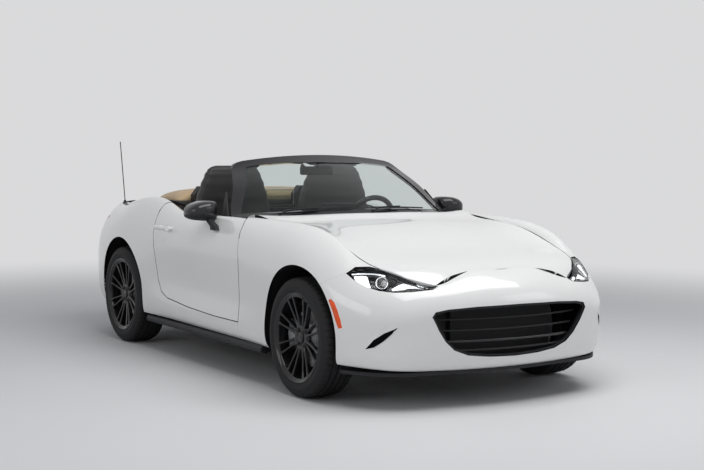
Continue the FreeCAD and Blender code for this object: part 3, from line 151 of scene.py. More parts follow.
LINING = material("top_lining", (0.05, 0.045, 0.04), 0.9, vary=0.2, weave=(320, 0.4))
WEBBING = material("belt_webbing", (0.02, 0.02, 0.021), 0.75, vary=0.2, weave=(500, 0.6))
GLASS = material("laminated_glass", (0.72, 0.79, 0.77), 0.0, vary=0.01, transmission_weight=1.0, ior=1.22)
LENS = material("clear_lens", (0.97, 0.98, 0.99), 0.02, vary=0.005, transmission_weight=1.0, ior=1.12)
RED_LENS = material("red_lens", (0.25, 0.003, 0.005), 0.2, vary=0.3, scale=60, cells=(130, 0.35),
                    specular=0.3, coat=(0.35, 0.03))
AMBER = material("amber_lens", (0.8, 0.075, 0.006), 0.3, vary=0.4, scale=90, cells=(140, 0.5),
                 specular=0.25, coat=(0.3, 0.05), emission_color=(1.0, 0.12, 0.01, 1),
                 emission_strength=0.12)
# Radiator fins kept near-black as painted shade behind the grille, so they don't read as lit grey
FINS = material("radiator_fins", (0.01, 0.01, 0.011), 0.7, metal=0.2, vary=0.3, scale=20, weave=(420, 0.8))
LIGHT = material(
    "lamp_light_bar", (0.93, 0.95, 1.0), 0.2, vary=0.01, emission_color=(0.95, 0.97, 1.0, 1),
    emission_strength=0.9)
REFLECTOR = material("lamp_reflector", (0.78, 0.79, 0.82), 0.16, metal=1.0, vary=0.08, scale=40,
                     cells=(160, 0.3))
MIRROR = material("mirror_glass", (0.86, 0.87, 0.88), 0.02, metal=1.0, vary=0.01)
SCREEN = material("display_glass", (0.008, 0.009, 0.012), 0.08, vary=0.3, coat=(1.0, 0.03))
DIAL = material("dial_face", (0.01, 0.01, 0.011), 0.4, vary=0.1)
MARKS = material("dial_marks", (0.8, 0.8, 0.8), 0.5, vary=0.05)
PLATE = material("plain_plate", (0.72, 0.72, 0.7), 0.4, vary=0.03, noise=(400, 0.1))

SLOT_MATERIAL = {
    "body_paint": PAINT, "black_gloss": GLOSS, "black_trim": TRIM, "glass": GLASS, "lamp": LENS,
    "tail_lamp": RED_LENS, "tyre": TYRE, "wheel_paint": WHEEL, "cast_metal": CAST, "floor_paint": UNDERBODY_AND_GAP_SHADE,
    "cabin_trim": CABIN, "seat_leather": LEATHER, "top_cloth": CANVAS, "steel": STEEL}
NODE_MATERIAL = {
    "front_suspension": DARK_CAST, "rear_suspension": DARK_CAST, "engine": DARK_CAST, "exhaust": CHROME,
    "front_liners": UNDERBODY_AND_GAP_SHADE, "rear_liners": UNDERBODY_AND_GAP_SHADE, "roll_hoops": TRIM, "console": CABIN, "radiator": FINS}
for entry in frame["record"]["subparts"]:
    thing = NODES[entry["node"]]
    thing.data.materials.clear()
    thing.data.materials.append(NODE_MATERIAL.get(entry["node"], SLOT_MATERIAL[entry["material_slot"]]))


# Shape helpers

def smooth_cad(thing):
    """Even shading over curved faces and crisp edges between them, by modifiers."""
    for polygon in thing.data.polygons:
        polygon.use_smooth = True
    weld = thing.modifiers.new("weld", "WELD")
    weld.merge_threshold = 0.00002
    split = thing.modifiers.new("edges", "EDGE_SPLIT")
    split.split_angle = radians(32)


def in_scene(name, data):
    """A new object in the scene."""
    thing = bpy.data.objects.new(name, data)
    SCENE.collection.objects.link(thing)
    return thing


def finish_piece(name, data, look, body, angle=40):
    """Puts a mesh in the scene with its material, on its body."""
    thing = in_scene(name, data)
    data.materials.append(look)
    for polygon in data.polygons:
        polygon.use_smooth = True
    data.set_sharp_from_angle(angle=radians(angle))
    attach(thing, body)
    return thing


def from_faces(name, verts, faces, look, body="body", angle=40, levels=0, merge=None):
    """A piece from points and faces. levels rounds it off, merge joins points closer than that."""
    data = bpy.data.meshes.new(name)
    data.from_pydata([tuple(v) for v in verts], [], faces)
    shape = bmesh.new()
    shape.from_mesh(data)
    if merge:
        bmesh.ops.remove_doubles(shape, verts=shape.verts, dist=merge)
    bmesh.ops.recalc_face_normals(shape, faces=shape.faces)
    shape.to_mesh(data)
    shape.free()
    thing = finish_piece(name, data, look, body, angle)
    if levels:
        soft = thing.modifiers.new("soft", "SUBSURF")
        soft.levels = soft.render_levels = levels
    return thing


def grid_faces(rows, columns, around=False, along=False):
    """Four-sided faces over rows of points, closed across the columns or across the rows if asked."""
    faces = []
    for i in range(rows if along else rows - 1):
        for j in range(columns if around else columns - 1):
            a, b = (i + 1) % rows, (j + 1) % columns
            faces.append((i * columns + j, i * columns + b, a * columns + b, a * columns + j))
    return faces


def angles(count):
    """Even steps once round."""
    return [2 * pi * k / count for k in range(count)]


def steps(low, high, count):
    """Even steps between two values, both included."""
    return [low + (high - low) * k / count for k in range(count + 1)]


def for_side(points, side):
    """Points of the car's right side for -1, their mirror images for 1."""
    return [Vector((-side * p.x, p.y, p.z)) for p in points]


def rounded_ring(count, half_u, half_v, power, power_v=None):
    """A ring between an ellipse, for a power of 1, and a rectangle, for 0."""
    ring = []
    for a in angles(count):
        c, s = cos(a), sin(a)
        u = half_u * copysign(abs(c) ** power, c)
        v = half_v * copysign(abs(s) ** (power_v or power), s)
        ring.append((u, v))
    return ring


def lathe(name, profile, centre, look, body="body", segments=48, angle=35, axis="x", wave=None):
    """Turns (along, radius) pairs about an axis through centre. wave(i, j, radius) may change each radius."""
    verts = []
    for i, a in enumerate(angles(segments)):
        for j, (t, r) in enumerate(profile):
            r = wave(i, j, r) if wave else r
            u, v = r * cos(a), r * sin(a)
            step = {"x": (t, u, v), "y": (u, t, v), "z": (u, v, t)}[axis]
            verts.append(Vector(centre) + Vector(step))
    return from_faces(
        name, verts, grid_faces(segments, len(profile), along=True), look, body, angle, merge=1e-6)


def loft(name, rings, look, body="body", angle=40, levels=0):
    """Closed rings of the same number of points, joined in order, with their ends closed."""
    count = len(rings[0])
    verts = [p for ring in rings for p in ring]
    faces = grid_faces(len(rings), count, around=True)
    faces.append(tuple(range(count)))
    faces.append(tuple(range((len(rings) - 1) * count, len(rings) * count)))
    return from_faces(name, verts, faces, look, body, angle, levels)


def pipe(name, points, radius, look, body="body", cyclic=False, smooth=True, flat=None):
    """A round bar along points, or a strap where flat gives its half width."""
    curve = bpy.data.curves.new(name, "CURVE")
    curve.dimensions = "3D"
    curve.bevel_depth = radius
    spline = curve.splines.new("NURBS" if smooth else "POLY")
    spline.points.add(len(points) - 1)
    for spot, p in zip(spline.points, points):
        spot.co = (*p, 1)
    spline.use_cyclic_u = cyclic
    if smooth:
        spline.order_u = 3
        spline.use_endpoint_u = not cyclic
    if flat:
        curve.extrude = flat
    else:
        curve.use_fill_caps = True
    curve.bevel_resolution = 3
    thing = in_scene(name + "_line", curve)
    bpy.context.view_layer.update()
    data = bpy.data.meshes.new_from_object(thing.evaluated_get(bpy.context.evaluated_depsgraph_get()))
    bpy.data.objects.remove(thing)
    data.name = name
    data.materials.clear()
    return finish_piece(name, data, look, body)


def rounded_box(name, across, along, heights, radius, look, body="body", segments=3, taper=None):
    """A bevelled block, along the car from the front axle. taper(point) may move its corners."""
    spans = across, [FRONT + y for y in along], heights
    size = [abs(b - a) for a, b in spans]
    middle = Vector([(a + b) / 2 for a, b in spans])
    shape = bmesh.new()
    bmesh.ops.create_cube(shape, size=1)
    for v in shape.verts:
        v.co = Vector([c * s for c, s in zip(v.co, size)])
        if taper:
            v.co = taper(v.co)
    bmesh.ops.bevel(
        shape, geom=shape.edges[:], offset=min(radius, min(size) * 0.49), segments=segments, affect="EDGES",
        profile=0.5)
    for v in shape.verts:
        v.co += middle
    data = bpy.data.meshes.new(name)
    shape.to_mesh(data)
    shape.free()
    return finish_piece(name, data, look, body)


def tree_of(*names):
    """What rays are cast at: these CAD nodes' faces."""
    verts, faces = [], []
    for name in names:
        base = len(verts)
        verts += [v.co.copy() for v in NODES[name].data.vertices]
        faces += [[base + i for i in p.vertices] for p in NODES[name].data.polygons]
    return BVHTree.FromPolygons(verts, faces)


def hit(tree, start, way, far):
    """Where a ray first meets a face, or None."""
    return tree.ray_cast(Vector(start), Vector(way).normalized(), far)[0]


# Camera as solved from the photograph

PHOTO_WIDTH, PHOTO_HEIGHT = 704, 470
FOCAL_PIXELS = 1390.7
SENSOR = 36
YAW, PITCH, ROLL = radians(-31.49), radians(-3.82), radians(-0.42)
EYE = Vector((-4.2661, -7.3225, 1.3012))
TURN = Matrix.Rotation(YAW, 3, "Z") @ Matrix.Rotation(PITCH, 3, "X") @ Matrix.Rotation(ROLL, 3, "Y")


def pixel_ray(px, py):
    """The way from the camera through a pixel of the photograph."""
    across, down = px - PHOTO_WIDTH / 2, py - PHOTO_HEIGHT / 2
    return (TURN @ Vector((across / FOCAL_PIXELS, 1.0, -down / FOCAL_PIXELS))).normalized()


camera_data = bpy.data.cameras.new("camera")
camera_data.sensor_width = SENSOR
camera_data.lens = FOCAL_PIXELS / PHOTO_WIDTH * SENSOR
camera = in_scene("camera", camera_data)
right, ahead, up = (TURN.col[i] for i in range(3))
camera.matrix_world = Matrix.Translation(EYE) @ Matrix((right, up, -ahead)).transposed().to_4x4()
SCENE.camera = camera

for node in NODES.values():
    smooth_cad(node)

# Body-coloured panels: faces that look into the car or across a shut line take a dark material as painted
# shade, the underbody coating for most panels and the cabin trim for the doors, whose inner faces are really
# lined in it

PANELS = [
    "front_bumper", "front_fenders", "bonnet", "rear_quarters", "boot_lid", "rear_bumper", "door_left",
    "door_right", "fuel_flap"]
LINING_AND_SHADE_OF = {"door_left": CABIN, "door_right": CABIN}
GAP_REACH = 0.016
GAP_LEANS = (-0.8, -0.4, 0.0, 0.5, 1.0, 1.6)
CORE_WIDTH, CORE_OVERHANG, CORE_HEIGHT = 0.6, 0.45, 0.35
panel_tree = tree_of(*PANELS)


def is_lining_or_painted_shade(middle, normal):
    """Whether a face looks into the car, or across a shut line at a panel close by: such a face takes the
    dark painted shade, and on the doors their lining.
    """
    along = min(max(middle.y, FRONT - CORE_OVERHANG), REAR + CORE_OVERHANG)
    outwards = (middle - Vector((middle.x * CORE_WIDTH, along, CORE_HEIGHT))).normalized()
    faces_out = normal.dot(outwards)
    start = middle + normal * 2e-5
    walls = [hit(panel_tree, start, normal + outwards * lean, GAP_REACH) for lean in GAP_LEANS]
    return faces_out < 0.02 or faces_out < 0.9 and any(walls)


for name in PANELS:
    data = NODES[name].data
    data.materials.append(LINING_AND_SHADE_OF.get(name, UNDERBODY_AND_GAP_SHADE))
    for polygon in data.polygons:
        if is_lining_or_painted_shade(polygon.center, polygon.normal):
            polygon.material_index = 1


# Wheels: tyres with tread, wheels with eight pairs of blades, nuts and caps

# corner, side, axle, half the track
CORNERS = [("front_left", 1, FRONT, 0.7475), ("front_right", -1, FRONT, 0.7475),
           ("rear_left", 1, REAR, 0.7525), ("rear_right", -1, REAR, 0.7525)]
# Profiles of (along the axle from the wheel's middle, radius)
TYRE_SIDE = [
    (-0.084, 0.219), (-0.09, 0.224), (-0.094, 0.229), (-0.0965, 0.236), (-0.098, 0.237), (-0.0995, 0.243),
    (-0.101, 0.255), (-0.1023, 0.262), (-0.1015, 0.263), (-0.1008, 0.272), (-0.098, 0.28), (-0.097, 0.2815),
    (-0.0945, 0.288), (-0.091, 0.2935), (-0.0905, 0.2952), (-0.087, 0.3), (-0.082, 0.3035)]
TREAD = [
    (-0.076, 0.3055), (-0.066, 0.3068), (-0.056, 0.3075), (-0.0545, 0.3002), (-0.0475, 0.3002),
    (-0.046, 0.3078), (-0.034, 0.308), (-0.022, 0.308), (-0.0205, 0.3002), (-0.0125, 0.3002),
    (-0.011, 0.308), (0.0, 0.308)]
HALF_TYRE = TYRE_SIDE + TREAD
TYRE_PROFILE = HALF_TYRE + [(-t, r) for t, r in reversed(HALF_TYRE[:-1])]
BARREL = [
    (0.0965, 0.2325), (0.0985, 0.2305), (0.0985, 0.2262), (0.0955, 0.2215), (0.0905, 0.215),
    (0.0885, 0.2085), (0.0845, 0.2065), (0.066, 0.2055), (0.04, 0.2), (-0.02, 0.1985), (-0.088, 0.2055),
    (-0.0965, 0.215), (-0.0985, 0.2262), (-0.0965, 0.2325), (-0.0895, 0.2315), (-0.0885, 0.2165),
    (0.089, 0.2165), (0.0895, 0.2315), (0.0965, 0.2325)]
HUB = [(0.046, 0.0), (0.046, 0.068), (0.052, 0.07), (0.0645, 0.066), (0.0705, 0.06), (0.0715, 0.054),
       (0.069, 0.0335), (0.0655, 0.031), (0.0655, 0.0295), (0.0655, 0.0)]
CAP = [(0.0655, 0.029), (0.0715, 0.0285), (0.0738, 0.026), (0.0748, 0.022), (0.074, 0.0205), (0.0752, 0.012),
       (0.0755, 0.0)]
NUT = [(0.0, 0.0125), (0.006, 0.0125), (0.01, 0.0108), (0.019, 0.01), (0.0205, 0.0085), (0.0205, 0.0062),
       (0.014, 0.0058), (0.014, 0.0)]
NUTS, NUT_CIRCLE, NUT_SEAT = 4, 0.05, 0.064
VALVE_ANGLE, VALVE_CIRCLE, VALVE_FOOT = 0.4, 0.196, 0.083
SHOULDER_GROOVE, RIB_GROOVE, RIB_RADIUS = 0.0048, 0.0035, 0.305
BLADE_PAIRS, BLADE_STEPS, BLADE_POINTS = 8, 8, 6
BLADE_ROOT, BLADE_TIP = 0.04, 0.2075


def tread_wave(i, j, r):
    """Cross grooves: over the shoulders at every fifth step, and finer ones in the ribs at every seventh."""
    last = len(TYRE_PROFILE) - 1
    k = min(j, last - j)
    stagger = (k % 3) * 2 + (0 if j < last / 2 else 3)
    if len(TYRE_SIDE) - 2 <= k < len(TYRE_SIDE) + 3:
        return r - SHOULDER_GROOVE if i % 5 == 0 else r
    if k >= len(TYRE_SIDE) + 5 and r > RIB_RADIUS:
        return r - RIB_GROOVE if (i + stagger) % 7 == 0 else r
    return r


def blade(pair_turn, way):
    """One blade of a pair: rings of six points from the hub to the rim, in the wheel's own frame."""
    rings = []
    c, s = cos(pair_turn), sin(pair_turn)
    for step in range(BLADE_STEPS + 1):
        t = step / BLADE_STEPS
        r = BLADE_ROOT + (BLADE_TIP - BLADE_ROOT) * t
        side = way * (0.0055 + 0.0215 * t ** 0.92)
        face = 0.0705 + 0.0205 * t ** 1.6
        deep = 0.03 - 0.01 * t
        waist = 0.0012 * sin(pi * min(1, t * 1.1))
        wide = 0.0062 - waist + 0.004 * (1 - t) ** 3 + 0.006 * max(0, t - 0.86) * 5
        ring = []
        for across, back in ((-wide * 0.45, 0), (wide * 0.45, 0), (wide, 0.004), (wide * 0.8, deep),
                             (-wide * 0.8, deep), (-wide, 0.004)):
            y = side + across
            ring.append((face - back, y * c + r * s, -y * s + r * c))
        rings.append(ring)
    return rings


def wheel_face(name, middle, side, body):
    """All the blades of a wheel in one piece."""
    verts, faces = [], []
    for pair_turn in angles(BLADE_PAIRS):
        for way in (1, -1):
            base = len(verts)
            rings = blade(pair_turn + pi / BLADE_PAIRS, way)
            for ring in rings:
                verts += [(middle.x + side * x, middle.y + y, middle.z + z) for x, y, z in ring]
            faces += [[base + i for i in f] for f in grid_faces(len(rings), BLADE_POINTS, around=True)]
            tip = base + BLADE_STEPS * BLADE_POINTS
            faces += [[end + i for i in range(BLADE_POINTS)] for end in (base, tip)]
    return from_faces(name, verts, faces, WHEEL, body, 28)


def turned(name, profile, centre, side, look, body, segments, angle=30):
    """A turned part on one side of the car, its profile counted outwards."""
    return lathe(name, [(side * t, r) for t, r in profile], centre, look, body, segments, angle)


for corner, side, y, x in CORNERS:
    body = f"wheel_{corner}"
    middle = Vector((side * x, y, WHEEL_R))
    tyre = lathe(
        f"tyre_cover_{corner}", TYRE_PROFILE, middle, TYRE, body, segments=280, wave=tread_wave)
    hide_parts(f"tyre_{corner}")
    rim = turned(f"wheel_barrel_{corner}", BARREL, middle, side, WHEEL, body, 128)
    wheel_face(f"wheel_blades_{corner}", middle, side, body)
    turned(f"wheel_hub_{corner}", HUB, middle, side, WHEEL, body, 96)
    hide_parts(f"rim_{corner}")
    turned(f"wheel_cap_{corner}", CAP, middle, side, WHEEL, body, 64)
    for k, a in enumerate(angles(NUTS)):
        a += pi / NUTS
        spot = middle + Vector((side * NUT_SEAT, NUT_CIRCLE * cos(a), NUT_CIRCLE * sin(a)))
        turned(f"wheel_nut_{corner}_{k}", NUT, spot, side, DARK_CAST, body, 6, 20)
    across, rise = VALVE_CIRCLE * cos(VALVE_ANGLE), VALVE_CIRCLE * sin(VALVE_ANGLE)
    valve = middle + Vector((side * VALVE_FOOT, across, rise))
    tip = valve + Vector((side * 0.018, -0.006, -0.002))
    pipe(f"wheel_valve_{corner}", [valve, tip], 0.003, RUBBER, body, smooth=False)


# Headlamps: the lamp's own outer faces as a clear lens, its other faces as a bowl, the units between them

# What the lamps look out from, what parts headlamps from side markers, and a point by the right headlamp
HEART = Vector((0, FRONT + 0.35, 0.45))
MARKER_TOP = 0.56
BY_LAMP = Vector((-0.62, FRONT - 0.52, 0.63))
lamps = NODES["front_lamps"].data
lamp_verts = [v.co.copy() for v in lamps.vertices]


def lamp_faces(side, outer, head):
    """The lamps' faces on a side, or both for 0, that look outwards or not, of the headlamp or the marker."""
    faces = []
    for polygon in lamps.polygons:
        middle = polygon.center
        looks_out = polygon.normal.dot((middle - HEART).normalized()) > 0.45
        if looks_out == outer and (middle.z > MARKER_TOP) == head and middle.x * side >= 0:
            faces.append(list(polygon.vertices))
    return faces


def lamp_shell(name, faces, look, thick):
    """Some faces of the lamps, welded and given a thickness inwards."""
    used = sorted({i for face in faces for i in face})
    place = {i: k for k, i in enumerate(used)}
    faces = [[place[i] for i in face] for face in faces]
    thing = from_faces(name, [lamp_verts[i] for i in used], faces, look, merge=2e-5)
    wall = thing.modifiers.new("wall", "SOLIDIFY")
    wall.thickness = thick
    wall.offset = -1
    return thing


for side, tag in SIDES:
    cover = lamp_shell(f"lamp_cover_{tag}", lamp_faces(side, True, True), LENS, 0.002)
    lamp_shell(f"lamp_bowl_{tag}", lamp_faces(side, False, True), GLOSS, 0.001)
    lamp_shell(f"marker_lens_{tag}", lamp_faces(side, True, False), AMBER, 0.0015)
    lamp_shell(f"marker_back_{tag}", lamp_faces(side, False, False), AMBER, 0.001)
    if side > 0:
        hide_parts("front_lamps")
lens_tree = BVHTree.FromPolygons(lamp_verts, lamp_faces(0, True, True))


def on_lens(px, py, depth):
    """A point at a depth below the right lamp's lens, where a pixel of the photograph shows it."""
    ray = pixel_ray(px, py)
    spot, normal, _, _ = lens_tree.ray_cast(EYE, ray, 20)
    if spot is None:
        spot, normal, _, _ = lens_tree.find_nearest(EYE + ray * ray.dot(BY_LAMP - EYE))
    inwards = normal if normal.dot(HEART - spot) > 0 else -normal
    return spot + inwards * depth


def resampled(line, count):
    """Points at even distances along a line."""
    lengths = [0.0]
    for a, b in zip(line, line[1:]):
        lengths.append(lengths[-1] + dist(a, b))
    points = []
    for k in range(count):
        at = lengths[-1] * k / (count - 1)
        i = min(max(i for i, length in enumerate(lengths) if length <= at), len(line) - 2)
        t = (at - lengths[i]) / (lengths[i + 1] - lengths[i])
        points.append(tuple(p + (q - p) * t for p, q in zip(line[i], line[i + 1])))
    return points


def lamp_band(name, outline, depth, look, thick, rise=0.0, count=28):
    """A unit of the lamps between two lines, as the photograph shows it in the right one, and mirrored."""
    top, bottom = outline
    rows = []
    for share, level in ((0, depth + thick), (0, depth), (0.33, depth - rise), (0.67, depth - rise),
                         (1, depth), (1, depth + thick)):
        rows.append([on_lens(a[0] + (b[0] - a[0]) * share, a[1] + (b[1] - a[1]) * share, level)
                     for a, b in zip(resampled(top, count), resampled(bottom, count))])
    rings = [[row[k] for row in rows] for k in range(count)]
    for side, tag in SIDES:
        loft(f"{name}_{tag}", [for_side(ring, side) for ring in rings], look, "body", 35)


# The units' upper and lower lines in the right lamp, and its projector, in pixels of the photograph
BROW = (
    [(347.4, 271.6), (360, 269.9), (373, 270.0), (384.5, 271.2), (400, 275.7), (420, 281.7), (434.6, 286.9)],
    [(348.2, 272.6), (360, 271.1), (373, 271.3), (384.5, 272.8), (400, 277.8), (420, 283.9), (434.0, 288.0)])
STRIP = ([(351, 273.2), (361, 272.2), (373, 272.4), (385, 274.2), (400, 278.9), (424, 285.3)],
         [(352, 274.2), (361, 273.4), (373, 273.8), (385, 275.8), (400, 280.3), (424, 285.9)])
CRESCENT = (
    [(353.4, 275.4), (358, 274.8), (363, 274.6), (367, 275.4), (368.2, 279.8), (369.6, 284.2),
     (371.4, 288.6)],
    [(354.0, 276.6), (356.4, 279.6), (359.0, 282.6), (361.6, 284.9), (364.2, 287.0), (366.8, 288.8),
     (369.4, 289.9)])
BAR = ([(391.4, 288.0), (397.8, 284.4), (404.3, 281.6), (411.4, 282.6), (418.6, 284.1), (432.6, 287.0)],
       [(392.4, 288.8), (398.5, 288.7), (403.8, 288.2), (408.8, 286.6), (418, 286.5), (431.8, 287.5)])
SHELF = ([(371, 289.8), (380, 290.0), (390, 289.9), (405, 289.6), (420, 287.9), (430, 288.0)],
         [(374, 291.0), (382, 291.4), (390, 291.4), (405, 290.6), (420, 288.7), (430, 288.5)])
PROJECTOR_X, PROJECTOR_Y, PROJECTOR_R = 381.6, 281.9, 5.9
# share of the projector's radius, depth below the lens in metres
DOME = ((0.93, 0.016), (0.9, 0.0105), (0.75, 0.0085), (0.5, 0.007), (0.25, 0.0062), (0.03, 0.006))


def projector_ring(share, depth):
    r = PROJECTOR_R * share
    return [on_lens(PROJECTOR_X + r * cos(a), PROJECTOR_Y + r * sin(a), depth) for a in angles(36)]


# The brow along the lamp's top is in the darkened plastic of painted shade
lamp_band("lamp_brow", BROW, 0.0023, SHADE, 0.005)
lamp_band("lamp_strip", STRIP, 0.008, REFLECTOR, 0.003)
lamp_band("lamp_crescent", CRESCENT, 0.011, LIGHT, 0.004, rise=0.002)
lamp_band("lamp_bar", BAR, 0.011, LIGHT, 0.004)
lamp_band("lamp_shelf", SHELF, 0.009, DARK_CAST, 0.003)
bezel = projector_ring(1, 0.011)
dome = [projector_ring(share, depth) for share, depth in DOME]
for side, tag in SIDES:
    pipe(f"lamp_ring_{tag}", for_side(bezel, side), 0.0022, CHROME, "body", cyclic=True)
    loft(f"lamp_projector_{tag}", [for_side(ring, side) for ring in dome], SCREEN, "body")


# Inner mirror, and door mirrors with a glossy cap, a dark underside, a foot and a glass

arm = ((1.236, 1.192), (1.245, 1.165), (1.262, 1.14))
pipe("inner_mirror_arm", [(0, FRONT + y, z) for y, z in arm], 0.008, TRIM)
rounded_box("inner_mirror", (-0.115, 0.115), (1.252, 1.275), (1.098, 1.15), 0.011, TRIM)
rounded_box("inner_mirror_glass", (-0.106, 0.106), (1.2745, 1.2765), (1.104, 1.144), 0.004, MIRROR)
# x, underside, top, front and back (behind the front axle)
MIRROR_CAP = [
    (0.766, 0.874, 0.934, 1.078, 1.12), (0.774, 0.86, 0.952, 1.05, 1.132), (0.79, 0.851, 0.96, 1.026, 1.137),
    (0.825, 0.847, 0.963, 1.01, 1.139), (0.87, 0.848, 0.96, 1.004, 1.139),
    (0.905, 0.852, 0.951, 1.008, 1.139), (0.93, 0.858, 0.938, 1.02, 1.138),
    (0.946, 0.867, 0.922, 1.042, 1.134), (0.955, 0.882, 0.906, 1.072, 1.12)]
# across, along, height of the foot's middle, half its width and half its length
MIRROR_FOOT = [
    (0.824, 0.968, 0.8, 0.026, 0.042), (0.824, 0.985, 0.818, 0.021, 0.034),
    (0.828, 1.022, 0.84, 0.019, 0.028), (0.832, 1.055, 0.866, 0.022, 0.03)]

# Where the cap's gloss ends, and the glass: across, along and height of its middle, half its width and height
CAP_SPLIT = 0.884
GLASS_X, GLASS_Y, GLASS_Z = 0.862, FRONT + 1.1396, 0.905
GLASS_HALF_WIDTH, GLASS_HALF_HEIGHT, GLASS_THICK = 0.074, 0.045, 0.0014

for side, tag in SIDES:
    body = f"door_{tag}"
    rings = []
    for x, low, high, front, back in MIRROR_CAP:
        ring = []
        for u, v in rounded_ring(40, 1, (high - low) / 2, 0.72):
            deep = u if u < 0 else abs(u) ** 0.35
            y = FRONT + (front + back) / 2 + deep * (back - front) / 2
            ring.append((side * x, y, (low + high) / 2 + v))
        rings.append(ring)
    cap = loft(f"mirror_cap_{tag}", rings, GLOSS, body, 50)
    cap.data.materials.append(TRIM)
    for polygon in cap.data.polygons:
        if polygon.center.z < CAP_SPLIT:
            polygon.material_index = 1
    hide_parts(f"mirror_{tag}")
    rings = [[(side * (x + u), FRONT + y + v, z) for u, v in rounded_ring(24, wide, long, 0.6)]
             for x, y, z, wide, long in MIRROR_FOOT]
    loft(f"mirror_foot_{tag}", rings, TRIM, body, 50)
    glass = [Vector((side * (GLASS_X + u), GLASS_Y, GLASS_Z + v))
             for u, v in rounded_ring(40, GLASS_HALF_WIDTH, GLASS_HALF_HEIGHT, 0.7)]
    back = [p + Vector((0, GLASS_THICK, 0)) for p in glass]
    loft(f"mirror_glass_{tag}", [glass, back], MIRROR, body)
    # A thin dark line of painted shade along the groove where the cap's gloss ends
    groove = [(side * x, FRONT + front + 0.0008 + (back - front) * 0.006, CAP_SPLIT)
              for x, low, high, front, back in MIRROR_CAP[1:8]]
    pipe(f"mirror_groove_{tag}", groove, 0.0009, SHADE, body)


# Seats: a bolstered back with its headrest and a dished cushion, in leather with sewn channels

def blend_table(table, at):
    """A table's values between two of its rows, eased from one to the next."""
    for (a, *low), (b, *high) in zip(table, table[1:]):
        if at <= b:
            t = (at - a) / (b - a)
            t = t * t * (3 - 2 * t)
            return [p + (q - p) * t for p, q in zip(low, high)]
    return list(table[-1][1:])


# height, front, back (behind the front axle), half width, dish
SEAT_BACK = [
    (0.345, 1.545, 1.668, 0.21, 0.02), (0.42, 1.556, 1.69, 0.234, 0.042), (0.56, 1.582, 1.712, 0.24, 0.05),
    (0.72, 1.606, 1.73, 0.248, 0.046), (0.84, 1.624, 1.733, 0.254, 0.036), (0.905, 1.628, 1.735, 0.25, 0.028),
    (0.96, 1.626, 1.736, 0.238, 0.02), (1.03, 1.628, 1.728, 0.214, 0.014), (1.09, 1.636, 1.718, 0.19, 0.01),
    (1.125, 1.646, 1.708, 0.17, 0.006), (1.143, 1.658, 1.698, 0.146, 0.003), (1.15, 1.67, 1.69, 0.116, 0.0),
]
# behind the front axle, underside, top, half width, dish
SEAT_BASE = [
    (1.108, 0.262, 0.322, 0.19, 0.004), (1.12, 0.248, 0.348, 0.215, 0.01), (1.15, 0.242, 0.366, 0.228, 0.022),
    (1.3, 0.24, 0.364, 0.233, 0.036), (1.45, 0.24, 0.352, 0.233, 0.034), (1.53, 0.242, 0.345, 0.225, 0.024),
    (1.575, 0.25, 0.33, 0.205, 0.01),
]

# Where the sewn channels run, up the back and along the cushion, their pitch and depth, and the share of the
# half width they fill
BACK_CHANNELS, BASE_CHANNELS = (0.43, 0.84), (1.16, 1.52)
CHANNEL_PITCH, CHANNEL_DEPTH, CHANNEL_SHARE = 0.052, 0.0042, 0.6
GROOVE_DEPTH, GROOVE_SHARE, GROOVE_WIDTH = 0.0045, 0.64, 0.03
SEAM_SHARE = 0.665
# across the car, along it and height, where the belt shows
BELT_X = 0.622
BELT = ((0.715, 0.845), (0.69, 0.862), (0.64, 0.82), (0.56, 0.64), (0.48, 0.44), (0.462, 0.402))


def channel(along, limits, share):
    """How much a sewn channel lowers the leather, as a value below zero."""
    if not limits[0] < along < limits[1] or share >= CHANNEL_SHARE:
        return 0
    return CHANNEL_DEPTH * (abs(sin(pi * along / CHANNEL_PITCH)) ** 0.35 - 1)


def bolster_groove(share):
    return GROOVE_DEPTH * exp(-((share - GROOVE_SHARE) / GROOVE_WIDTH) ** 2)


def seat_front(z, x):
    """Where the front of the back lies at a height, x counted from the seat's middle."""
    front, rear, half, dish = blend_table(SEAT_BACK, z)
    share = min(abs(x) / half, 0.999)
    s = sqrt(1 - (share ** (1 / 0.6)) ** 2)
    return (front + rear) / 2 - (rear - front) / 2 * s ** 0.55 + dish * (1 - share ** 3)


def seat_back(name, mid):
    rings = []
    for z in steps(SEAT_BACK[0][0], SEAT_BACK[-1][0], 100):
        front, rear, half, dish = blend_table(SEAT_BACK, z)
        ring = []
        for x, v in rounded_ring(44, half, (rear - front) / 2, 0.6, 0.55):
            y = (front + rear) / 2 + v
            if v < 0:
                share = abs(x) / half
                y += dish * (1 - share ** 3) - channel(z, BACK_CHANNELS, share)
                y += bolster_groove(share) if z < 0.86 else 0
            ring.append((mid + x, FRONT + y, z))
        rings.append(ring)
    return loft(name, rings, LEATHER, "body", 60)


def seat_base(name, mid):
    rings = []
    for y in steps(SEAT_BASE[0][0], SEAT_BASE[-1][0], 60):
        low, high, half, dish = blend_table(SEAT_BASE, y)
        ring = []
        for x, v in rounded_ring(44, half, (high - low) / 2, 0.5):
            z = (low + high) / 2 + v
            if v > 0:
                share = abs(x) / half
                z += channel(y, BASE_CHANNELS, share) - dish * (1 - share ** 3) - bolster_groove(share)
            ring.append((mid + x, FRONT + y, z))
        rings.append(ring)
    return loft(name, rings, LEATHER, "body", 60)


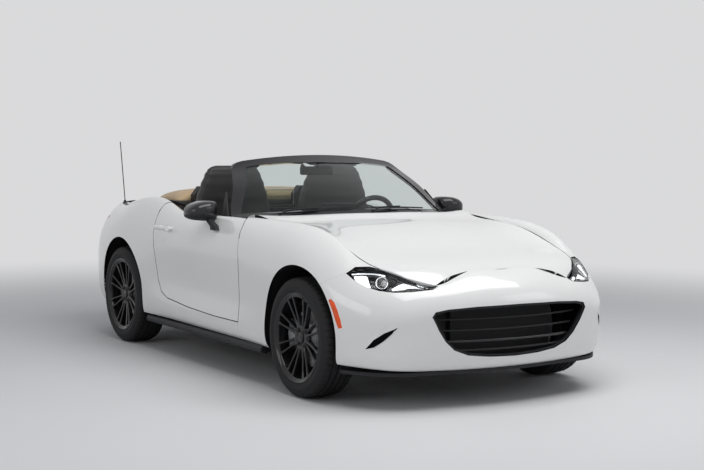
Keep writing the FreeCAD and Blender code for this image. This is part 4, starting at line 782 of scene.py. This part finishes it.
for side, tag in SIDES:
    mid = side * DRIVER
    back, base = seat_back(f"seat_back_{tag}", mid), seat_base(f"seat_cushion_{tag}", mid)
    if side > 0:
        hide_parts("seats")
    for way in (-1, 1):
        seam = []
        for z in steps(0.4, 0.85, 14):
            x = way * blend_table(SEAT_BACK, z)[2] * SEAM_SHARE
            seam.append((mid + x, FRONT + seat_front(z, x) - 0.0012, z))
        pipe(f"seat_seam_{tag}_{'in' if way != side else 'out'}", seam, 0.0013, STITCH, "body")
    rounded_box(
        f"seat_side_{tag}", (mid + side * 0.25, mid + side * 0.23), (1.17, 1.6), (0.236, 0.315), 0.008, TRIM)
    x = side * BELT_X
    pipe(f"seat_belt_{tag}", [(x, y, z) for y, z in BELT], 0.0011, WEBBING, "body", flat=0.022)
    rounded_box(f"belt_guide_{tag}", (x - 0.026, x + 0.026), (1.89, 1.926), (0.836, 0.856), 0.005, TRIM)


# Folded top: one crowned stack of canvas with its folds showing in front

STACK = [
    (0.83, 0.838), (0.826, 0.852), (0.825, 0.87), (0.833, 0.877), (0.826, 0.884), (0.8225, 0.899),
    (0.824, 0.916), (0.834, 0.923), (0.827, 0.93), (0.823, 0.946), (0.828, 0.966), (0.843, 0.984),
    (0.87, 0.996), (0.91, 1.0025), (0.96, 1.005), (1.01, 1.004), (1.06, 0.999), (1.11, 0.988), (1.15, 0.974),
    (1.185, 0.957), (1.21, 0.936), (1.224, 0.908), (1.229, 0.876), (1.228, 0.838)]
# Half its width, the height that it lies on, its middle along the car, and where its corners start to round
TOP_HALF, TOP_FOOT, TOP_MIDDLE, TOP_CORNER = 0.59, 0.837, 1.03, 0.9
CREASED = range(9, 21)
rings = []
for x in steps(-TOP_HALF, TOP_HALF, 48):
    share = abs(x) / TOP_HALF
    corner = max(0.0, share - TOP_CORNER)
    crown = (1 - 0.22 * share ** 3) * (1 - corner * 2.6)
    ring = []
    for k, (y, z) in enumerate(STACK):
        ripple, sag = 0.0012 * sin(x * 40 + k), 0
        if k in CREASED:
            ripple = 0.0022 * sin(x * 23 + y * 31) * sin(x * 9 - y * 12)
            sag = 0.006 * exp(-((y - 1.06) / 0.05) ** 2) + 0.004 * exp(-((y - 0.94) / 0.03) ** 2)
        y += (TOP_MIDDLE - y) * corner * 0.35
        ring.append((x, y, TOP_FOOT + (z - TOP_FOOT) * crown + min(0, ripple) - sag))
    rings.append(ring)
stack = loft("folded_top", rings, CANVAS, "body", 70, levels=1)
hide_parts("soft_top")
rounded_box(
    "top_well_lining", (-0.597, 0.597), (2.012, 2.436), (0.8375, 0.922), 0.022, LINING,
    segments=4)
for name, y, z in (("front", 0.8215, 0.8445), ("rear", 1.2315, 0.845)):
    edge = [(x, y, z) for x in steps(-0.5, 0.5, 10)]
    pipe(f"top_edge_{name}", edge, 0.0045, LINING, "body")


# Dashboard: hood with three dials, centre display, round vents, trim and a seam

DIAL_Y, DIAL_Z = FRONT + 1.0885, 0.846
# beside the driver's middle, radius
DIALS = ((-0.098, 0.036), (0.0, 0.05), (0.098, 0.036))
DIAL_START, DIAL_STEP, MARKS_ON_DIAL, MARK_HALF_WIDTH = 225, 15, 19, 0.0007


def hood_shape(p):
    """Narrower above, further forward below."""
    return Vector((p.x, p.y - 0.02, p.z)) if p.z < 0 else Vector((p.x * 0.86, p.y, p.z))


rounded_box(
    "dial_hood", (DRIVER - 0.165, DRIVER + 0.165), (0.955, 1.088), (0.8, 0.902), 0.032, CABIN,
    taper=hood_shape)
for k, (x, r) in enumerate(DIALS):
    spot = Vector((DRIVER + x, DIAL_Y, DIAL_Z))
    ring = [(0.0, r), (0.006, r), (0.006, r - 0.004), (0.0, r - 0.005), (0.0, r)]
    lathe(f"dial_ring_{k}", ring, spot, STEEL, axis="y")
    lathe(f"dial_face_{k}", [(0.0005, r - 0.003), (0.0012, 0.0)], spot, DIAL, "body", 40, axis="y")
    verts = []
    for mark in range(MARKS_ON_DIAL):
        turn = radians(DIAL_START - mark * DIAL_STEP)
        way = Vector((cos(turn), 0, sin(turn)))
        across = way.cross(Vector((0, 1, 0))) * MARK_HALF_WIDTH
        a, b = (spot + way * r * share + Vector((0, 0.0025, 0)) for share in (0.74, 0.86))
        verts += [a - across, a + across, b + across, b - across]
    faces = [tuple(range(4 * mark, 4 * mark + 4)) for mark in range(MARKS_ON_DIAL)]
    from_faces(f"dial_marks_{k}", verts, faces, MARKS)
    needle = [spot + Vector((0, 0.004, 0)), spot + Vector((-r * 0.5, 0.004, -r * 0.45))]
    pipe(f"dial_needle_{k}", needle, 0.0009, AMBER, "body", smooth=False)
rounded_box("centre_display", (-0.112, 0.112), (0.985, 1.003), (0.846, 0.938), 0.007, TRIM)
rounded_box("centre_display_glass", (-0.104, 0.104), (1.0025, 1.0045), (0.854, 0.931), 0.002, SCREEN)
VENT_Y, VENT_Z = 1.108, 0.77
VENT_BORE, BLADE_PITCH = 0.0295, 0.01
VENT_RING = [
    (-0.02, 0.038), (0.008, 0.038), (0.01, 0.035), (0.008, 0.031), (-0.004, VENT_BORE), (-0.02, VENT_BORE),
    (-0.02, 0.038)]
for k, x in enumerate((-0.575, -0.15, 0.15, 0.575)):
    look = GLOSS if abs(x) < 0.3 else STEEL
    lathe(f"vent_ring_{k}", VENT_RING, (x, FRONT + VENT_Y, VENT_Z), look, axis="y")
    for j in range(-2, 3):
        z = VENT_Z + j * BLADE_PITCH
        half = sqrt(VENT_BORE ** 2 - (j * BLADE_PITCH) ** 2)
        rounded_box(f"vent_blade_{k}_{j + 2}", (x - half, x + half), (VENT_Y - 0.012, VENT_Y + 0.004),
                    (z - 0.001, z + 0.001), 0.0008, TRIM, segments=1)
rounded_box("dash_trim", (-0.535, -0.195), (1.098, 1.113), (0.722, 0.738), 0.004, GLOSS)
seam_line = [(x, FRONT + 1.0615 - 0.004 * abs(x), 0.8475) for x in (-0.64, -0.4, -0.2, 0.0, 0.17)]
pipe("dash_seam", seam_line, 0.0013, STITCH, "body")
rounded_box("climate_panel", (-0.105, 0.105), (1.08, 1.104), (0.655, 0.712), 0.008, GLOSS)
knob = [(0.0, 0.0205), (0.012, 0.0195), (0.0145, 0.0175), (0.015, 0.0)]
for k, x in enumerate((-0.07, 0.0, 0.07)):
    lathe(f"climate_knob_{k}", knob, (x, FRONT + 1.103, 0.684), STEEL if k == 1 else TRIM, "body", 40,
          axis="y")

# Steering wheel: padded boss, bright accents over its spokes and a seam round its rim

LEAN = Matrix.Rotation(radians(24), 3, "X")
BOSS = Vector((DRIVER, FRONT + 1.235, 0.805))
RIM_RADIUS = 0.1515
# depth towards the driver, radius
BOSS_RINGS = ((-0.03, 0.06), (-0.01, 0.066), (0.002, 0.062), (0.009, 0.05), (0.0125, 0.03), (0.0135, 0.006))
rings = []
for depth, size in BOSS_RINGS:
    ring = []
    for a in angles(32):
        x, z = size * cos(a) * 1.05, size * sin(a) * (0.92 if sin(a) > 0 else 1.0)
        ring.append(BOSS + LEAN @ Vector((x, depth, z)))
    rings.append(ring)
loft("wheel_boss", rings, LEATHER, "steering_wheel", 60, levels=1)
for way, tag in ((-1, "a"), (1, "b")):
    spoke = [Vector((way * r, -0.006, -0.01 - 0.08 * (r - 0.07))) for r in (0.066, 0.09, 0.115, 0.138)]
    pipe(f"wheel_accent_{tag}", [BOSS + LEAN @ p for p in spoke], 0.0035, STEEL, "steering_wheel")
rim = [Vector((cos(a), 0.0, sin(a))) * RIM_RADIUS for a in angles(48)]
pipe("wheel_seam", [BOSS + LEAN @ p for p in rim], 0.0012, STITCH, "steering_wheel", cyclic=True)

# Console: boot and ring round the lever, and a turning knob

CONSOLE_TOP = 0.455
LEVER, KNOB = (0, FRONT + 1.18, CONSOLE_TOP), (0, FRONT + 1.33, CONSOLE_TOP)
BOOT_STEPS, BOOT_PLEATS, PLEAT_DEPTH = 40, 9, 0.06


def pleats(i, j, r):
    """The leather boot's folds, in all of its rings but the first two and the last."""
    return r * (1 + PLEAT_DEPTH * sin(i * 2 * pi / BOOT_STEPS * BOOT_PLEATS)) if 1 < j < 7 else r


boot = [(0.0, 0.052), (0.012, 0.05), (0.02, 0.04), (0.03, 0.034), (0.038, 0.026), (0.052, 0.021),
        (0.066, 0.014), (0.085, 0.01)]
lathe("lever_boot", boot, LEVER, LEATHER, "body", BOOT_STEPS, axis="z", wave=pleats)
ring = [(0.0, 0.06), (0.003, 0.059), (0.004, 0.055), (0.0, 0.053), (0.0, 0.06)]
lathe("lever_ring", ring, LEVER, STEEL, axis="z")
dial = [(0.0, 0.024), (0.014, 0.023), (0.018, 0.02), (0.018, 0.0)]
lathe("console_knob", dial, KNOB, STEEL, "body", 40, axis="z")

# Floor mats, storage lid with its latch, wind screen between the hoops

SCREEN_Y, SCREEN_HALF, SCREEN_TOP = 1.968, 0.232, 0.985
for side, tag in SIDES:
    rounded_box(f"floor_mat_{tag}", (side * 0.15, side * 0.56), (0.69, 1.09), (0.1652, 0.176), 0.005, CARPET)
rounded_box("storage_lid", (-0.118, 0.118), (1.868, 1.9095), (0.53, 0.8), 0.014, CABIN)
rounded_box("storage_latch", (-0.032, 0.032), (1.862, 1.869), (0.715, 0.738), 0.003, STEEL)
rounded_box("wind_screen", (-SCREEN_HALF, SCREEN_HALF), (SCREEN_Y - 0.002, SCREEN_Y + 0.002),
            (0.884, SCREEN_TOP), 0.0015, GLASS)
edge = [(-SCREEN_HALF, 0.882), (-SCREEN_HALF, SCREEN_TOP), (-0.12, 0.988), (0.12, 0.988),
        (SCREEN_HALF, SCREEN_TOP), (SCREEN_HALF, 0.882)]
pipe("wind_screen_edge", [(x, FRONT + SCREEN_Y, z) for x, z in edge], 0.004, STEEL, "body", smooth=False)

# Door linings: armrest, pocket, speaker, pull, sill strip, guide at the window's front

SPEAKER = [(0.0, 0.072), (-0.006, 0.07), (-0.008, 0.064), (-0.005, 0.058), (-0.005, 0.0)]
# off the lining, along, height
PULL = ((0.0, 1.13, 0.745), (0.03, 1.15, 0.747), (0.034, 1.21, 0.75), (0.03, 1.27, 0.752), (0.0, 1.29, 0.753))
# across, along, height
GUIDE = ((0.745, 0.965, 0.868), (0.738, 1.065, 0.872), (0.7, 1.1, 0.985), (0.69, 1.108, 1.01),
         (0.692, 1.096, 1.008))
GUIDE_THICK = 0.005
LINING_X, SILL_LEAST = 0.7005, 0.8


def sill_top(door_tree, side, y):
    """The first place from the cabin outwards where the door's top lies, a little outside it."""
    for step in range(60):
        spot = hit(door_tree, (side * (0.655 + 0.003 * step), y, 1.2), (0, 0, -1), 0.5)
        if spot is not None and spot.z > SILL_LEAST:
            return [(spot.x + side * 0.006, y, spot.z + 0.002)]
    return []


for side, tag in SIDES:
    body, inner = f"door_{tag}", side * LINING_X
    rounded_box(f"door_armrest_{tag}", (side * 0.652, inner), (1.1, 1.5), (0.6, 0.648), 0.016, LEATHER, body)
    rounded_box(f"door_pocket_{tag}", (side * 0.676, inner), (0.98, 1.47), (0.345, 0.43), 0.012, TRIM, body)
    turned(f"door_speaker_{tag}", SPEAKER, (inner, FRONT + 0.86, 0.49), side, TRIM, body, 56, 35)
    pipe(f"door_pull_{tag}", [(inner - side * off, FRONT + y, z) for off, y, z in PULL], 0.007, STEEL, body)
    door_tree = tree_of(body)
    strip = [spot for y in steps(FRONT + 1.075, FRONT + 1.8, 24) for spot in sill_top(door_tree, side, y)]
    pipe(f"belt_strip_{tag}", strip, 0.0065, RUBBER, body)
    rings = [[(side * (x + out), FRONT + y, z) for x, y, z in GUIDE] for out in (0.0, GUIDE_THICK)]
    loft(f"window_guide_{tag}", rings, RUBBER, body, 30)

# Dark pockets in the bumper's side slots, darker than their black plastic as painted shade, and bars across
# the grille, behind its opening and along the nose

# across, height
SLOT = [(0.738, 0.306), (0.716, 0.34), (0.69, 0.368), (0.655, 0.396), (0.628, 0.417), (0.632, 0.4),
        (0.655, 0.366), (0.69, 0.332), (0.715, 0.314)]
SLOT_X, SLOT_Z = 0.683, 0.362
# The bumper's face by the slot: where it starts across and along, and how far back it leads
FACE_X, FACE_Y, FACE_SLOPE = 0.627, FRONT - 0.609, 1.106
# size against the slot, depth
SLOT_RINGS = ((1.12, 0.01), (1.1, 0.03), (0.55, 0.048), (0.2, 0.05))
# height, half length, depth behind the nose, half the thickness
GRILLE_BARS = ((0.292, 0.325, 0.052, 0.006), (0.338, 0.372, 0.044, 0.0075), (0.392, 0.408, 0.046, 0.005),
               (0.446, 0.44, 0.05, 0.005))
NOSE_Z = 0.535


def slot_point(x, z, grow, deep):
    off = (x - SLOT_X) * grow
    y = FACE_Y + (SLOT_X + off - FACE_X) * FACE_SLOPE + deep
    return SLOT_X + off - deep * 0.5, y, SLOT_Z + (z - SLOT_Z) * grow


for side, tag in SIDES:
    rings = []
    for grow, deep in SLOT_RINGS:
        ring = [slot_point(x, z, grow, deep) for x, z in SLOT]
        rings.append([(side * x, y, z) for x, y, z in ring])
    loft(f"slot_pocket_{tag}", rings, SHADE, "body", 40)
bumper_tree = tree_of("front_bumper")
for k, (z, half, deep, thick) in enumerate(GRILLE_BARS):
    nose = [(x, hit(bumper_tree, (x, -2.4, NOSE_Z), (0, 1, 0), 2).y) for x in steps(-half, half, 24)]
    line = [(x, y + deep, z) for x, y in nose]
    pipe(f"grille_bar_{k}", line, thick, GLOSS if k == 1 else TRIM, "body")

# Rings in the tail lamps, and a plain plate

# across, height, radius
TAIL_RINGS = ((0.59, 0.748, 0.04), (0.5, 0.742, 0.022))
BEHIND = 2.4
tail_tree = tree_of("tail_lamps")
rear_tree = tree_of("rear_bumper")
for side, tag in SIDES:
    for k, (x, z, r) in enumerate(TAIL_RINGS):
        spots = [hit(tail_tree, (side * (x + r * cos(a)), BEHIND, z + r * sin(a)), (0, -1, 0), 2)
                 for a in angles(40)]
        points = [spot + Vector((0, 0.0005, 0)) for spot in spots if spot is not None]
        if len(points) > 30:
            look = RED_LENS if k == 0 else LENS
            pipe(f"tail_ring_{tag}_{k}", points, 0.0042, look, "body", cyclic=True)

PLATE_Z = (0.503, 0.511, 0.609, 0.617)
PLATE_HALF, PLATE_THICK = 0.26, 0.004
RECESS_Z, RECESS_LOW, RECESS_HIGH = 0.56, 0.09, 0.13
across = steps(-PLATE_HALF, PLATE_HALF, 22)
rows = []
for z in PLATE_Z:
    row = []
    for x in across:
        seen_at = RECESS_Z if RECESS_LOW < abs(x) < RECESS_HIGH else z
        on_edge = z in (PLATE_Z[0], PLATE_Z[-1]) or x in (across[0], across[-1])
        spot = hit(rear_tree, (x, BEHIND, seen_at), (0, -1, 0), 2)
        row.append(Vector((x, spot.y + (0.0005 if on_edge else 0.0012), z)))
    rows.append(row)
face = [p for row in rows for p in row]
verts = face + [p - Vector((0, PLATE_THICK, 0)) for p in face]
wide, count = len(across), len(face)
front = grid_faces(len(rows), wide)
faces = front + [tuple(count + i for i in reversed(f)) for f in front]
edge = list(range(wide)) + [2 * wide - 1, 3 * wide - 1, count - 1]
edge += list(range(count - 2, count - wide - 1, -1)) + [2 * wide, wide]
faces += [(a, b, count + b, count + a) for a, b in zip(edge, edge[1:] + edge[:1])]
from_faces("rear_plate", verts, faces, PLATE)


# Floor, background and lights

# The floor fades into the backdrop's colour between two distances from the car
BACKDROP = (0.7, 0.7, 0.71)
FLOOR_HALF = 60
FADE_START, FADE_END = 2.8, 7.5
floor_data = bpy.data.meshes.new("studio_floor")
corners = [(x * FLOOR_HALF, y * FLOOR_HALF, 0) for x, y in ((-1, -1), (1, -1), (1, 1), (-1, 1))]
floor_data.from_pydata(corners, [], [(0, 1, 2, 3)])
floor_look = material("pale_floor", (0.74, 0.74, 0.75), 0.7, vary=0.02, scale=0.7, noise=(30, 0.05))
tree = floor_look.node_tree
place = add_node(tree, "TexCoord", {}).outputs["Object"]
reach = add_node(tree, "VectorMath", {0: place}, operation="LENGTH").outputs["Value"]
fade = add_node(tree, "MapRange", {"Value": reach, "From Min": FADE_START, "From Max": FADE_END},
                interpolation_type="SMOOTHSTEP").outputs[0]
plain_floor = tree.nodes["Principled BSDF"].outputs[0]
glow = add_node(tree, "Emission", {"Color": (*BACKDROP, 1), "Strength": 1.0}).outputs[0]
blend = add_node(tree, "MixShader", {0: fade, 1: plain_floor, 2: glow})
fill(tree, tree.nodes["Material Output"], {"Surface": blend.outputs[0]})
floor_data.materials.append(floor_look)
in_scene("studio_floor", floor_data)

world = bpy.data.worlds.new("studio")
world.use_nodes = True
tree = world.node_tree
background = tree.nodes["Background"]
fill(tree, background, {"Color": (0.62, 0.64, 0.68, 1), "Strength": 0.42})
backdrop = add_node(tree, "Background", {"Color": (*BACKDROP, 1)})
path = add_node(tree, "LightPath", {})
seen = path.outputs["Is Camera Ray"]
for kind in ("Is Glossy Ray", "Is Transmission Ray"):
    seen = add_node(tree, "Math", {0: seen, 1: path.outputs[kind]}, operation="MAXIMUM").outputs[0]
mix = add_node(tree, "MixShader", {0: seen, 1: background.outputs[0], 2: backdrop.outputs[0]})
fill(tree, tree.nodes["World Output"], {"Surface": mix.outputs[0]})
SCENE.world = world


def softbox(name, spot, target, width, height, power):
    """A large soft lamp that looks at a target."""
    data = bpy.data.lights.new(name, "AREA")
    data.shape = "RECTANGLE"
    data.size, data.size_y = width, height
    data.energy = power
    thing = in_scene(name, data)
    thing.location = spot
    thing.rotation_euler = (Vector(target) - Vector(spot)).to_track_quat("-Z", "Y").to_euler()


# place, target, width, height in metres, power in watts
softbox("overhead", (0.3, -2.4, 4.4), (0, -0.6, 0), 5.0, 2.6, 150)
softbox("front_left", (4.5, -6.0, 3.2), (0, -1, 0.6), 3.5, 2.2, 30)
softbox("right_side", (-6.5, -1.5, 2.6), (0, 0, 0.5), 4.5, 2.0, 45)

SCENE.view_settings.view_transform = "Standard"
